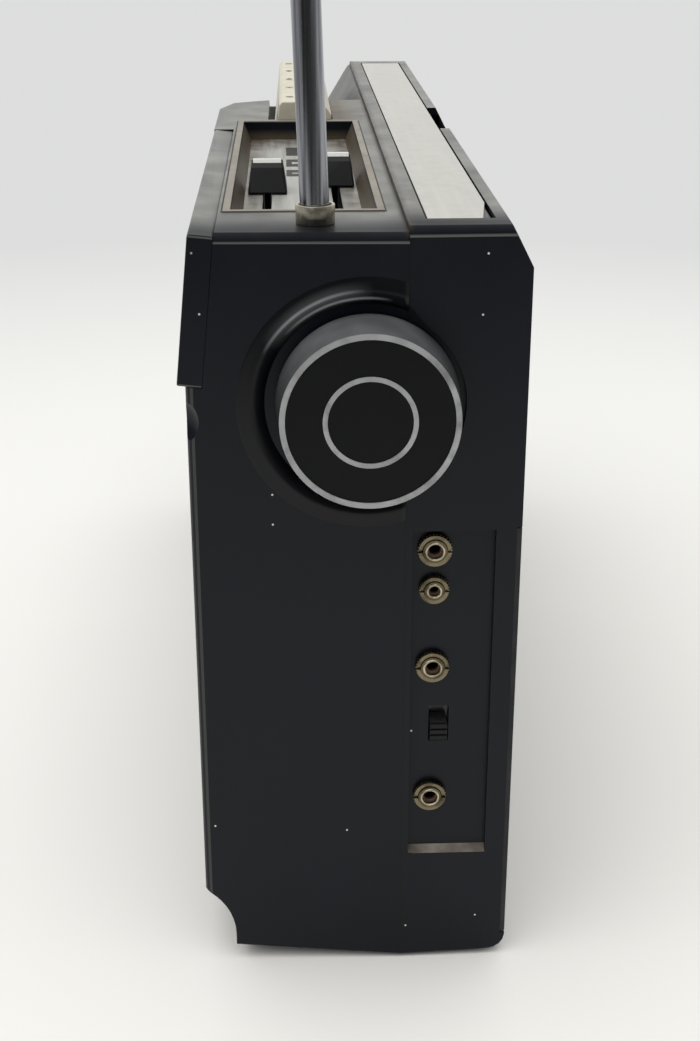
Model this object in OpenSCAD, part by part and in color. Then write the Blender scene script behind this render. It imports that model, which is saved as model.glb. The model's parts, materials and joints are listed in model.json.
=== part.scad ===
// Portable radio cassette recorder, millimetres, +Z up.
// The front faces -Y and the tuning knob is on the +X end.
// Places are written as s (from the right end towards the left), y (from the front face
// towards the back) and z (above the surface it stands on).

/* [Case] */
// Length between the two ends
case_l = 336; // [300:1:380]
// Depth from the front face to the back
case_d = 78; // [70:0.5:90]
// Height from the lowest edge to the deck
case_h = 191; // [185:1:215]
// Thickness of the moulded walls
wall = 2.4; // [2:0.1:2.8]
// Depth of the rear half
rear_d = 27.6; // [27:0.1:32]
// Radius of the rounded front corners
edge_r = 1.8; // [0.6:0.1:2.2]
// Radius of the rounded top edges at the ends
top_r = 2.8; // [1:0.1:3.2]
// How far the top of the rear half stands above the deck
rear_up = 1.4; // [0:0.1:2]
// How far each end leans in from the seam
end_draft = 1; // [0:0.1:1.4]
// How far the bottom rises from the seam to the front
front_rise = 4.2; // [2:0.1:4.6]
// How far the bottom rises from the seam to the back
rear_rise = 0.6; // [0:0.1:3]
// Radius of the rear bottom edge
back_r = 4.6; // [2:0.1:5]
// Height of the feet under the lowest edge
foot_h = 1.2; // [0.8:0.1:3]
// Radius of a foot
foot_r = 5; // [4:0.5:7]
// Depth of the cove along the front bottom edge
cove_depth = 7.6; // [5:0.2:9]
// Radius of that cove
cove_r = 16; // [13:0.5:18]
// Width of the chamfer along the rear top edge
chamfer_w = 4.8; // [3:0.1:5]
// Height of that chamfer
chamfer_h = 9.2; // [6:0.2:10]
// Radius of the thumb scoop under the dial
scoop_r = 7.5; // [5:0.5:9]

/* [Dial] */
// Length of the dial housing
dial_l = 155; // [122:1:185]
// Height of the dial housing along its slope
dial_h = 34.6; // [30:0.2:38]
// Thickness of the dial housing
dial_t = 5.8; // [5.2:0.1:7]
// Depth of the dial seat at its lower edge
dial_y = 3.9; // [3.2:0.1:4.8]
// Backward slope of the dial in degrees
dial_tilt = 6; // [4:0.5:7]

/* [Tuning] */
// Radius of the tuning knob at its front
knob_r = 20.2; // [18:0.2:21]
// How far the knob stands out of the end
knob_out = 12.4; // [10:0.1:16]
// Distance of the knob axis in front of the seam
knob_in = 9; // [8:0.1:12]
// Depth of the knob axis below the deck
knob_drop = 39.2; // [38:0.2:44]
// Radius of the dish round the knob
dish_r = 25; // [23:0.5:28]
// Depth of the dish
dish_depth = 2; // [1:0.1:2.2]
// Radius of the rounded rim of the dish in the front half
dish_rim = 1.9; // [0.4:0.1:1.9]
// Radius of the cord drum on the tuning shaft
drum_r = 10.6; // [8:0.1:12]
// Radius of the tuning shaft
shaft_r = 3; // [2:0.1:4]

/* [Antenna] */
// Radius of the outer tube
antenna_r = 3.3; // [3:0.05:3.5]
// Length of the outer tube
antenna_l = 165; // [150:1:170]
// How far the outer tube stands above the deck
antenna_up = 100; // [80:1:120]
// Forward lean of the antenna in degrees
antenna_lean = 2; // [0:0.2:2.4]
// Distance of the antenna from the right end
antenna_s = 12.5; // [11:0.1:13]

/* [Controls] */
// Gap between the slider recess and the first key
well_gap = 6; // [5:0.5:20]
// Width of the deck between the slider recess and the seam
well_rim = 5.6; // [3.6:0.1:8]
// How far the long sides of the recess slope outwards
well_slope = 2.3; // [1:0.1:3.6]
// Depth of the recess down to its plate
well_depth = 5.4; // [4:0.2:6]
// Width of a slider knob
slider_w = 10.4; // [8:0.2:11]
// How far each side of a slider knob leans in
slider_taper = 1.1; // [0.4:0.1:1.6]
// Height of a slider knob
slider_h = 8.6; // [7:0.2:10]
// Width of one cassette key
key_w = 24; // [22:0.1:24.2]
// Distance from key to key
key_pitch = 24.6; // [24.5:0.1:25]
// Height of the keys above the deck
key_up = 5.5; // [2:0.5:8]
// Depth of the step down in front of the keys
shelf_drop = 18; // [15:0.5:21]

/* [Cassette] */
// Width of the cassette door
door_w = 108; // [106:0.5:110]
// Height of the cassette door
door_h = 72; // [69:0.5:75]
// Thickness of the door
door_t = 2.4; // [2:0.1:2.6]
// Depth of the mechanism plate behind the front face
mech_y = 20.5; // [19:0.1:22]
// Radius of the flywheel
flywheel_r = 18; // [14:0.5:19]

/* [Sound] */
// Outer radius of the loudspeaker
speaker_r = 50; // [44:1:54]
// Gap between the loudspeaker grille and the cassette door
grille_gap = 32; // [20:1:50]
// Height of the loudspeaker grille
grille_h = 116; // [108:1:122]
// Thickness of the loudspeaker grille
grille_t = 1.2; // [0.8:0.1:1.4]

/* [Back] */
// Width of the handle bar
handle_w = 15; // [12:0.5:15.5]
// Distance of the handle bar from each end
handle_in = 10; // [8:0.5:24]
// Length of the finger notch behind the handle
notch_l = 46; // [35:1:60]
// Height of the battery lid
lid_h = 115; // [112:1:118]
// Thickness of the battery lid
lid_t = 1.2; // [1:0.1:2]
// Length of the battery bay
bay_l = 162; // [156:1:170]
// Height of the battery bay
bay_h = 62; // [56:1:68]

/* [Jacks] */
// Radius of a large jack's bore
jack_r = 1.8; // [1.75:0.05:1.9]
// Radius of the small jack's bore
small_jack_r = 1.3; // [1.25:0.05:1.4]
// Radius of a ring nut
nut_r = 4; // [3.6:0.1:4.4]
// Depth of the jack panel
panel_depth = 2; // [1:0.1:2.6]

/* [Hidden] */
$fn = 64;

// Clearances: pressed or seated, running, and free between moving bodies
seat_gap = 0.05;
run_gap = 0.05;
free_gap = 0.4;
eps = 1;

// Ratio of a rounded top edge to the radius that would run smoothly into its faces
edge_crease = 1.02;

// Whole object: centred on its own box, standing on z = 0
lip_out = dial_t * cos(dial_tilt) - dial_y;
right_x = (case_l - knob_out) / 2;
front_y = -(case_d - lip_out) / 2;
deck_z = foot_h + case_h;
rear_top = deck_z + rear_up;
seam_y = case_d - rear_d;
back_y = case_d - lid_t;
floor_z = foot_h + front_rise + wall;
foot_top = floor_z - wall - 0.2;
shelf_z = deck_z - shelf_drop;
cove_z = foot_h + 7;
cove_top = cove_z + sqrt(cove_r * cove_r - pow(cove_r - cove_depth, 2));

// Dial: its seat leans back from the lip
dial_z = deck_z - dial_h - 0.4;
dial_rim = 6;
dial_pocket = dial_t - 1.6;
scale_t = 1;
window_t = 1.3;
pointer_t = 1;
pointer_s = dial_l / 2;
pointer_travel = drum_r * 270 * PI / 180;
pointer_slot_z = dial_rim - 1.7;
pointer_slot_h = 2.6;
upper_y = dial_y + dial_h * sin(dial_tilt) + wall + 0.4;
deck_front = 1.6;

// Tuning
knob_y = seam_y - knob_in;
knob_z = deck_z - knob_drop;
rear_dish_r = knob_r + 2.4;
dish_corner = sqrt(dish_r * dish_r - knob_in * knob_in);
dish_turn = acos(knob_in / dish_r) - acos(rear_dish_r / dish_r) + 10;
ring_t = 0.3;
bush_r = shaft_r + 1.6;
drum_s = 17.6;
drum_w = 7;
capacitor_s = 30;
capacitor_l = 22;
capacitor_size = 20;

// Antenna
antenna_y = knob_y - 11.4;
tube_wall = 0.55;
tube_gap = 0.12;
middle_r = antenna_r - tube_wall - tube_gap;
upper_r = middle_r - tube_wall - tube_gap;
tip_r = upper_r - tube_wall - tube_gap;
collar_h = 4.4;
collar_bore = antenna_r + 0.4;
stem_r = collar_bore + 0.4;
collar_r = stem_r + 0.35;

// Cassette section, measured from the left end
step_s = case_l - 113;
step_slant = 6.6;
step_run = 22;
key_n = 5;
keys_left = 37;
keys_l = key_n * key_pitch;
keys_s = case_l - keys_left - keys_l;
key_y = 18.4;
key_d = 19.9;
key_lean = 3.2;
key_bottom = shelf_z - 6;
key_slot_y = key_y - free_gap;
key_slot_back = key_y + key_d + free_gap;
rod_y = seam_y + 6.6;
rod_z = key_bottom + 2;
rod_r = 1.5;
lug_w = 3;
arm_in = 6;

door_s = case_l - 66 - door_w / 2;
door_z = shelf_z - 16 - door_h;
door_top = door_z + door_h;
hinge_r = 2;
pin_r = 1.2;
side_gap = 0.6;
bay_wall = 2.4;
plate_lap = 1.2;
tape_s = door_s + door_w / 2;
hub_gap = 42.5;
hub_up = 27.4;
hub_z = door_z + hub_up;
mech_t = 1.5;
mech_back = mech_y + mech_t;
mech_bottom = door_z - 2;
mech_top = door_top + 2;
capstan_in = 24;
capstan_drop = 20;
capstan_s = tape_s - capstan_in;
capstan_z = door_top - capstan_drop;
capstan_r = 1.2;
flywheel_y = seam_y - 10.4;
flywheel_t = 7;
motor_in = 40;
motor_up = 12;
motor_s = tape_s - motor_in;
motor_z = door_z + motor_up;
motor_r = 13;
pulley_r = 4;
belt_y = flywheel_y + 2.6;
belt_w = 2;
belt_t = 1;
bridge_t = 2;
bridge_z = door_top - 12;
roller_r = 4;
roller_z = capstan_z + capstan_r + roller_r + 4.8;
hub_front = 11.6;

// Slider recess in the deck
well_s = 27;
well_l = keys_s - well_gap - well_s;
well_y = 12.6;
well_w = seam_y - well_rim - well_slope - well_y;
tub_out = well_slope + wall / 2;
plate_t = 0.8;
plate_z = deck_z - well_depth;
well_floor = plate_z - plate_t;
slot_w = 2.4;
slot_s = well_s + 5;
slot_l = well_l - 41;
volume_y = well_y + 6;
tone_y = well_y + well_w - 5.8;
volume_s = slot_s + 49.5;
tone_s = slot_s + 59;
pot_h = 9;
pot_w = 10;
pot_end = 6;
pot_top = well_floor - wall;

// Loudspeaker
grille_s = 20;
grille_l = door_s - grille_gap - grille_s;
grille_z = 29;
grille_rib = 3;
speaker_s = grille_s + grille_l / 2 - 2;
speaker_z = grille_z + grille_h / 2;
speaker_depth = seam_y - 14.4;
basket_h = 20;
mic_s = case_l - 36;
mic_z = 50;
mic_r = 5;

// Rear half
handle_s = handle_in;
handle_l = case_l - 2 * handle_in;
handle_y = seam_y + 4.6;
handle_t = 7;
trim_t = 1;
trough_depth = 11;
trough_z = rear_top - trough_depth;
leg_w = 6;
leg_l = 52;
leg_in = 10;
notch_s = case_l / 2 - notch_l / 2;
notch_h = 8;
lid_z = foot_h + 5.8;
lid_in = 0.6;
lid_gap = 0.3;
bay_s = (case_l - bay_l) / 2 + 12;
bay_y = seam_y - 0.4;
bay_z = 40;
bay_skin = 1.6;
cell_rows = 2;

// Jack panel on the right end of the rear half
panel_y = seam_y + 1.7;
panel_w = 19.8;
panel_top = deck_z - 70.4;
panel_h = 89.3;
jack_y = panel_y + 5.4;
jack_drops = [5.2, 15.5, 36.2, 72.8];
jack_small = [false, true, false, false];
jack_back = panel_depth + wall;
thread_wall = 1.1;
nut_t = 1.8;
switch_y = panel_y + 7.3;
switch_z = panel_top - 52.6;
switch_w = 5;
switch_h = 9.8;
lever_h = 5;

// Main board
board_y = seam_y - 5;
board_t = 1.6;
board_in = 40;
board_s = [26, motor_s - board_in];
board_z = [24, knob_z - capacitor_size / 2 - 1];

// Ferrite rod, between the handle's right leg and the lug of the key rod
ferrite_s = [handle_s + 50, keys_s - 18];
ferrite_y = seam_y + 13.6;
ferrite_r = 4.5;
coil_r = 6;
clip_w = 6;

// Screws that join the two halves, as [s, z]
boss_r = 3.6;
screw_r = 1.5;
head_r = 2.8;
head_y = seam_y + 11.6;
screw_places = [
    [28, 18],
    [case_l - 28, 18],
    [keys_s - 8, shelf_z - 9],
    [case_l - 6.4, door_top - 12]
];
foot_places = [for (s = [24, case_l - 24], y = [20, seam_y + 15.6]) [s, y]];

// A box between two places
module block(s, y, z) {
    translate([right_x - s[1], front_y + y[0], z[0]])
        cube([s[1] - s[0], y[1] - y[0], z[1] - z[0]]);
}

// Round bars along the three axes
module bar_x(s, y, z, r) {
    translate([right_x - s[1], front_y + y, z]) rotate([0, 90, 0]) cylinder(h = s[1] - s[0], r = r);
}

module bar_y(s, y, z, r) {
    translate([right_x - s, front_y + y[0], z]) rotate([-90, 0, 0]) cylinder(h = y[1] - y[0], r = r);
}

module bar_z(s, y, z, r) {
    translate([right_x - s, front_y + y, z[0]]) cylinder(h = z[1] - z[0], r = r);
}

// An outline of [y, z] points swept along the length
module sweep_x(s, outline) {
    translate([right_x - s[1], front_y, 0]) rotate([90, 0, 90])
        linear_extrude(s[1] - s[0]) polygon(outline);
}

// An outline of [s, z] points swept from front to back
module sweep_y(y, outline) {
    translate([right_x, front_y + y[1], 0]) rotate([90, 0, 0]) mirror([1, 0, 0])
        linear_extrude(y[1] - y[0]) polygon(outline);
}

// An outline of [s, y] points swept upwards
module sweep_z(z, outline) {
    translate([right_x, front_y, z[0]]) mirror([1, 0, 0]) linear_extrude(z[1] - z[0]) polygon(outline);
}

// The frame of the sloping dial: x runs to the right end, -y out of the dial, z up its slope
module on_dial() {
    translate([right_x, front_y + dial_y, dial_z]) rotate([-dial_tilt, 0, 0]) children();
}

// The frame of the knob: z runs out of the right end
module on_knob() {
    translate([right_x, front_y + knob_y, knob_z]) rotate([0, 90, 0]) children();
}

// The frame of the antenna: z runs up the leaning tube from the deck
module on_antenna() {
    translate([right_x - antenna_s, front_y + antenna_y, deck_z]) rotate([antenna_lean, 0, 0]) children();
}

// A ring about z
module ring(h, outer, inner) {
    difference() {
        cylinder(h = h, r = outer);
        translate([0, 0, -eps]) cylinder(h = h + 2 * eps, r = inner);
    }
}

// Points round a corner of an outline, a quarter turn clockwise from angle a
function round_corner(c, r, a) = [for (k = [0:4]) c + r * [cos(a - 22.5 * k), sin(a - 22.5 * k)]];

// What a rounded top edge leaves out; the edge runs along y and its corner is at x = z = 0.
// The rounding is a little too large for its faces, so it meets them in a faint crease.
module edge_waste(r, l) {
    difference() {
        translate([-r, -eps, -r]) cube([r + eps, l + 2 * eps, r + eps]);
        translate([-r, -2 * eps, -r]) rotate([-90, 0, 0]) cylinder(h = l + 4 * eps, r = edge_crease * r);
    }
}

// The top edge of both ends from the seam to the front or the back, leaning in by the draft
module end_edge(l, lean, z) {
    for (side = [0, 1])
        translate([right_x - side * case_l, front_y + seam_y, z]) mirror([side, 0, 0]) rotate([0, 0, lean])
            translate([0, l < 0 ? l : 0, 0]) edge_waste(top_r, abs(l));
}

// Outer form of the front half, with the lower shelf in front of the keys
module front_form() {
    intersection() {
        sweep_z([0, deck_z + eps], concat(
            round_corner([end_draft + edge_r, edge_r], edge_r, 270),
            [[0, seam_y], [case_l, seam_y]],
            round_corner([case_l - end_draft - edge_r, edge_r], edge_r, 0)
        ));
        difference() {
            union() {
                sweep_x([0, step_s], [
                    [0, foot_h + front_rise], [0, dial_z], [deck_front, deck_z],
                    [seam_y, deck_z], [seam_y, foot_h]
                ]);
                sweep_x([step_s, case_l], [
                    [0, foot_h + front_rise], [0, shelf_z], [key_slot_back, shelf_z],
                    [seam_y - 0.6, deck_z], [seam_y, deck_z], [seam_y, foot_h]
                ]);
            }
            bar_x([-eps, case_l + eps], cove_depth - cove_r, cove_z, cove_r);
            block([-eps, case_l + eps], [-eps, cove_depth], [0, cove_z]);
            sweep_z([shelf_z, deck_z + eps], [
                [step_s - step_run, -eps], [step_s - step_run, deck_front], [step_s - step_slant, 6],
                [step_s, key_slot_y], [step_s + eps, key_slot_y], [step_s + eps, -eps]
            ]);
            end_edge(-seam_y, -atan(end_draft / seam_y), deck_z);
        }
    }
}

// Hollow of the front half
module front_hollow() {
    s_in = [wall, case_l - wall];
    mid_z = dial_z - wall;
    step_in = step_s - step_slant - wall;
    block(s_in, [cove_depth + wall, seam_y + eps], [floor_z, cove_top + wall]);
    block(s_in, [wall, seam_y + eps], [cove_top + wall - eps, mid_z]);
    block([wall, step_in], [upper_y, seam_y + eps], [mid_z - eps, deck_z - wall]);
    block([step_in - eps, case_l - wall], [wall, seam_y + eps], [mid_z - eps, shelf_z - wall]);
}

// Walls, bosses and pads moulded inside the front half
module front_inner() {
    // Tub of the slider recess
    block([well_s - wall, well_s + well_l + wall], [well_y - tub_out, well_y + well_w + tub_out],
        [pot_top, deck_z]);
    // Pad behind the knob dish
    intersection() {
        bar_x([wall - eps, dish_depth + wall], knob_y, knob_z, dish_r + wall);
        block([0, dish_depth + wall], [wall, seam_y], [0, deck_z]);
    }
    // Walls of the cassette bay
    for (s = [door_s - side_gap - bay_wall, door_s + door_w + side_gap])
        block([s, s + bay_wall], [wall - 0.2, mech_y], [mech_bottom - bay_wall, mech_top]);
    block([door_s - side_gap - bay_wall, door_s + door_w + side_gap + bay_wall], [wall - 0.2, mech_y],
        [mech_bottom - bay_wall, mech_bottom]);
    // Screw bosses
    for (p = screw_places)
        bar_y(p[0], [p[1] < cove_top ? cove_depth : p[0] < step_s ? upper_y - wall : wall - 0.2, seam_y],
            p[1], boss_r);
}

module front_case() {
    color([0.11, 0.11, 0.12]) difference() {
        union() {
            difference() {
                front_form();
                front_hollow();
            }
            intersection() {
                front_form();
                front_inner();
            }
        }
        // Seat of the dial and the slot for its pointer
        on_dial() translate([-dial_l, -20, -0.01]) cube([dial_l + eps, 20, dial_h + 10]);
        on_dial() pointer_slot();
        translate([right_x + 3, front_y - 3.5, dial_z - 8]) sphere(r = scoop_r);
        // Slider recess and its two slots
        block([well_s, well_s + well_l], [well_y, well_y + well_w], [well_floor, deck_z]);
        sweep_x([well_s, well_s + well_l], [
            [well_y, plate_z], [well_y - well_slope, deck_z], [well_y - well_slope, deck_z + eps],
            [well_y + well_w + well_slope, deck_z + eps], [well_y + well_w + well_slope, deck_z],
            [well_y + well_w, plate_z]
        ]);
        for (y = [volume_y, tone_y])
            block([slot_s, slot_s + slot_l], [y - slot_w / 2, y + slot_w / 2], [pot_top - eps, deck_z]);
        // Knob dish and bush
        on_knob() rotate_extrude() polygon(concat(
            [[0, eps], [0, -dish_depth], [dish_r, -dish_depth]],
            round_corner([dish_r + dish_rim, -dish_rim], dish_rim, 180),
            [[dish_r + dish_rim, eps]]
        ));
        on_knob() translate([0, 0, -20]) cylinder(h = 20, r = bush_r);
        // Antenna: seat of the collar, and room for the tube below it
        bar_z(antenna_s, antenna_y, [deck_z - 10, deck_z + eps], stem_r);
        on_antenna() translate([0, 0, -antenna_l - 5]) cylinder(h = antenna_l, r = antenna_r + 0.7);
        // Keys and their arms
        block([keys_s - free_gap, keys_s + keys_l], [key_slot_y, key_slot_back],
            [key_bottom - 8, deck_z + 20]);
        block([keys_s - free_gap, keys_s + keys_l], [key_slot_back - eps, seam_y + eps],
            [key_bottom - 10, shelf_z - wall]);
        // Cassette opening and the door's hinge pins
        block([door_s - free_gap, door_s + door_w + free_gap], [-eps, wall + 1],
            [door_z - free_gap, door_top + free_gap]);
        bar_x([door_s - 4, door_s + door_w + 4], hinge_r, door_z + hinge_r, pin_r + run_gap);
        // Grille seat, loudspeaker opening and microphone slots
        block([grille_s, grille_s + grille_l], [-eps, grille_t], [grille_z, grille_z + grille_h]);
        bar_y(speaker_s, [-eps, wall + eps], speaker_z, speaker_r - 4);
        for (k = [-1, 0, 1])
            block([mic_s - 4, mic_s + 4], [-eps, wall + eps], [mic_z + 2.4 * k - 0.5, mic_z + 2.4 * k + 0.5]);
        // Feet and screws
        for (p = foot_places)
            bar_z(p[0], p[1], [0, foot_top], foot_r + seat_gap);
        for (p = screw_places)
            bar_y(p[0], [seam_y - 12, seam_y + eps], p[1], screw_r);
    }
}

// Outer form of the rear half
module rear_form() {
    intersection() {
        sweep_z([0, rear_top + eps], [
            [0, seam_y], [end_draft / 2, case_d], [case_l - end_draft / 2, case_d], [case_l, seam_y]
        ]);
        difference() {
            sweep_x([0, case_l], concat(
                [[seam_y, foot_h], [seam_y, rear_top]],
                [[case_d - chamfer_w, rear_top], [case_d, rear_top - chamfer_h]],
                round_corner([case_d - back_r, foot_h + rear_rise + back_r], back_r, 0)
            ));
            end_edge(rear_d, atan(end_draft / 2 / rear_d), rear_top);
        }
    }
}

module leg_places() {
    for (s = [handle_s + leg_in, handle_s + handle_l - leg_in - leg_w]) translate([-s, 0, 0]) children();
}

module rear_inner() {
    trough_back = handle_y + handle_w + free_gap;
    // Trough of the handle
    block([handle_s - free_gap - bay_skin, handle_s + handle_l + free_gap + bay_skin],
        [handle_y - free_gap - bay_skin, trough_back + bay_skin], [trough_z - bay_skin, rear_top]);
    // Pads behind the jack panel and the knob dish
    block([wall - eps, jack_back], [panel_y - eps, panel_y + panel_w + eps],
        [panel_top - panel_h - eps, panel_top + eps]);
    intersection() {
        bar_x([wall - eps, dish_depth + wall], knob_y, knob_z, dish_r + wall);
        block([0, dish_depth + wall], [seam_y, case_d], [0, deck_z]);
    }
    // Posts of the screws and lugs of the key rod
    for (p = screw_places)
        bar_y(p[0], [seam_y, back_y], p[1], boss_r);
    for (s = [keys_s - free_gap - lug_w, keys_s + keys_l + free_gap])
        block([s, s + lug_w], [rod_y - 4, back_y - wall], [rod_z - 4, rod_z + 4]);
}

module rear_case() {
    trough_back = handle_y + handle_w + free_gap;
    color([0.11, 0.11, 0.12]) difference() {
        union() {
            difference() {
                rear_form();
                block([wall, case_l - wall], [seam_y - eps, back_y - wall], [floor_z, rear_top - wall]);
            }
            intersection() {
                rear_form();
                rear_inner();
            }
            // Tub of the battery bay, which reaches a little past the seam
            block([bay_s - bay_skin, bay_s + bay_l + bay_skin], [bay_y - bay_skin, back_y],
                [bay_z - bay_skin, bay_z + bay_h + bay_skin]);
        }
        // Handle trough, its leg slots and the finger notch
        block([handle_s - free_gap, handle_s + handle_l + free_gap], [handle_y - free_gap, trough_back],
            [trough_z, rear_top + eps]);
        leg_places() block([-free_gap, leg_w + free_gap], [handle_y + 1.6, handle_y + handle_w - 1.6],
            [trough_z - 10, rear_top]);
        block([notch_s, notch_s + notch_l], [trough_back - eps, case_d + eps],
            [rear_top - notch_h, rear_top + eps]);
        // Battery bay and the seat of its lid
        block([bay_s, bay_s + bay_l], [bay_y, case_d], [bay_z, bay_z + bay_h]);
        block([-eps, case_l + eps], [back_y, case_d + eps], [lid_z - lid_gap, lid_z + lid_h + lid_gap]);
        // Jack panel with its holes and the switch slot
        block([-eps, panel_depth], [panel_y, panel_y + panel_w], [panel_top - panel_h, panel_top]);
        for (k = [0:3])
            bar_x([-eps, 10], jack_y, panel_top - jack_drops[k], thread_r(k) + seat_gap);
        block([-eps, 10], [switch_y - switch_w / 2, switch_y + switch_w / 2],
            [switch_z - switch_h / 2, switch_z + switch_h / 2]);
        // Knob dish, whose edge runs straight from the seam, key rod, feet and screws
        on_knob() translate([0, 0, -dish_depth]) cylinder(h = 20, r = rear_dish_r);
        for (side = [-1, 1])
            sweep_x([-eps, dish_depth], [
                [knob_y, knob_z], [seam_y, knob_z + side * dish_corner],
                [knob_y + rear_dish_r * cos(dish_turn), knob_z + side * rear_dish_r * sin(dish_turn)]
            ]);
        bar_x([keys_s - 10, keys_s + keys_l + 10], rod_y, rod_z, rod_r + seat_gap);
        for (p = foot_places)
            bar_z(p[0], p[1], [0, foot_top], foot_r + seat_gap);
        for (p = screw_places) {
            bar_y(p[0], [seam_y - eps, case_d + eps], p[1], screw_r + 0.1);
            bar_y(p[0], [head_y, case_d + eps], p[1], head_r + 0.2);
        }
    }
}

// Framed slab on the slope of the front
module dial_housing() {
    color([0.13, 0.13, 0.14]) on_dial() difference() {
        translate([-dial_l + free_gap, -dial_t, 0]) cube([dial_l - free_gap - end_draft, dial_t, dial_h]);
        translate([-dial_l + dial_rim, -dial_pocket, dial_rim - 2])
            cube([dial_l - 2 * dial_rim, dial_t, dial_h - 2 * dial_rim + 4]);
        translate([-dial_l + 2 * dial_rim, -dial_t - eps, dial_rim + 1])
            cube([dial_l - 4 * dial_rim, dial_t, dial_h - 2 * dial_rim - 2]);
    }
}

// Slot through the scale and its seat for the foot of the pointer
module pointer_slot() {
    translate([-pointer_s - pointer_travel - 4, -scale_t - eps, pointer_slot_z])
        cube([2 * pointer_travel + 8, 14, pointer_slot_h]);
}

module dial_plate(y, t) {
    translate([-dial_l + dial_rim + seat_gap, y, dial_rim - 2 + seat_gap])
        cube([dial_l - 2 * dial_rim - 2 * seat_gap, t, dial_h - 2 * dial_rim + 4 - 2 * seat_gap]);
}

module dial_window() {
    color([0.75, 0.8, 0.82, 0.4]) on_dial() dial_plate(-dial_pocket, window_t);
}

module dial_scale() {
    color([0.06, 0.06, 0.07]) on_dial() difference() {
        dial_plate(-scale_t, scale_t);
        pointer_slot();
    }
}

// Needle in front of the scale, with a foot through the slot to the cord behind it
module dial_pointer() {
    needle_y = -scale_t - free_gap - pointer_t;
    color([0.85, 0.2, 0.1]) on_dial() {
        translate([-pointer_s - 0.6, needle_y, pointer_slot_z + free_gap])
            cube([1.2, pointer_t, dial_h - dial_rim - pointer_slot_z - free_gap]);
        translate([-pointer_s - 3, needle_y, pointer_slot_z + free_gap])
            cube([6, 9, pointer_slot_h - 2 * free_gap]);
    }
}

// Printed metal plate on the floor of the slider recess
module control_plate() {
    color([0.75, 0.75, 0.74]) difference() {
        block([well_s + seat_gap, well_s + well_l - seat_gap],
            [well_y + seat_gap, well_y + well_w - seat_gap], [well_floor, plate_z]);
        for (y = [volume_y, tone_y])
            block([slot_s, slot_s + slot_l], [y - slot_w / 2, y + slot_w / 2], [well_floor - eps, deck_z]);
    }
}

// Slide potentiometer under the recess, with a channel for the slider's stem
module slide_pot(y) {
    color([0.55, 0.56, 0.58]) difference() {
        block([slot_s - pot_end, slot_s + slot_l + pot_end], [y - pot_w / 2, y + pot_w / 2],
            [pot_top - pot_h, pot_top]);
        block([slot_s, slot_s + slot_l], [y - slot_w / 2, y + slot_w / 2],
            [pot_top - pot_h + 2, pot_top + eps]);
    }
}

module volume_pot() {
    slide_pot(volume_y);
}

module tone_pot() {
    slide_pot(tone_y);
}

// Wedge-shaped slider with a stem through its slot
module slider(s, y) {
    foot = plate_z + 0.3;
    top = plate_z + slider_h;
    stem_w = slot_w - 2 * free_gap;
    color([0.05, 0.05, 0.06]) {
        intersection() {
            sweep_y([y - slider_w / 2, y + slider_w / 2], [
                [s - 6.5, foot], [s - 3.8, top - 1.9], [s - 2.4, top], [s - 0.6, top],
                [s + 5.5, foot + 2], [s + 5.5, foot]
            ]);
            sweep_x([s - 7, s + 6], [
                [y - slider_w / 2, foot], [y - slider_w / 2 + slider_taper, top],
                [y + slider_w / 2 - slider_taper, top], [y + slider_w / 2, foot]
            ]);
        }
        block([s - 3, s + 3], [y - stem_w / 2, y + stem_w / 2], [pot_top - pot_h + 2.4, foot]);
    }
}

module volume_knob() {
    slider(volume_s, volume_y);
}

module tone_knob() {
    slider(tone_s, tone_y);
}

module tuning_knob() {
    knob_back = -dish_depth + 1;
    knob_face = knob_out - ring_t;
    color([0.07, 0.07, 0.075]) on_knob() difference() {
        translate([0, 0, knob_back]) cylinder(h = knob_face - knob_back, r1 = knob_r + 1, r2 = knob_r);
        translate([0, 0, knob_back - eps]) cylinder(h = knob_face - knob_back - 3, r = shaft_r + seat_gap);
        // Hollow back round the hub
        translate([0, 0, knob_back - eps]) ring(6, knob_r - 2, shaft_r + 3);
    }
}

// Two thin metal rings on the face of the knob
module knob_rings() {
    color([0.78, 0.78, 0.78]) on_knob() translate([0, 0, knob_out - ring_t]) {
        ring(ring_t, knob_r, knob_r - 1.3);
        ring(ring_t, knob_r / 2 + 0.5, knob_r / 2 - 0.6);
    }
}

// Shaft with the drum that pulls the dial cord
module tuning_shaft() {
    shaft_out = knob_out - ring_t - 5;
    shaft_in = capacitor_s + 10;
    color([0.7, 0.66, 0.5]) on_knob() {
        translate([0, 0, -shaft_in]) cylinder(h = shaft_in + shaft_out, r = shaft_r);
        translate([0, 0, -drum_s - drum_w]) difference() {
            cylinder(h = drum_w, r = drum_r + 1.4);
            translate([0, 0, 1.5]) ring(drum_w - 3, drum_r + 5, drum_r);
        }
    }
}

module tuning_bush() {
    color([0.72, 0.6, 0.35]) on_knob() translate([0, 0, -dish_depth - wall - 4]) difference() {
        union() {
            cylinder(h = wall + 4, r = bush_r - seat_gap);
            cylinder(h = 4, r = bush_r + 2);
        }
        translate([0, 0, -eps]) cylinder(h = wall + 6, r = shaft_r + run_gap);
    }
}

module tuning_capacitor() {
    half = capacitor_size / 2;
    color([0.8, 0.8, 0.75]) difference() {
        union() {
            block([capacitor_s, capacitor_s + capacitor_l], [knob_y - half, knob_y + half - 4],
                [knob_z - half, knob_z + half]);
            block([capacitor_s + 2, capacitor_s + capacitor_l - 2], [board_y, board_y + board_t],
                [knob_z - half - 1, knob_z - half]);
        }
        on_knob() translate([0, 0, -capacitor_s - 12]) cylinder(h = 14, r = shaft_r + run_gap);
    }
}

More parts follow.
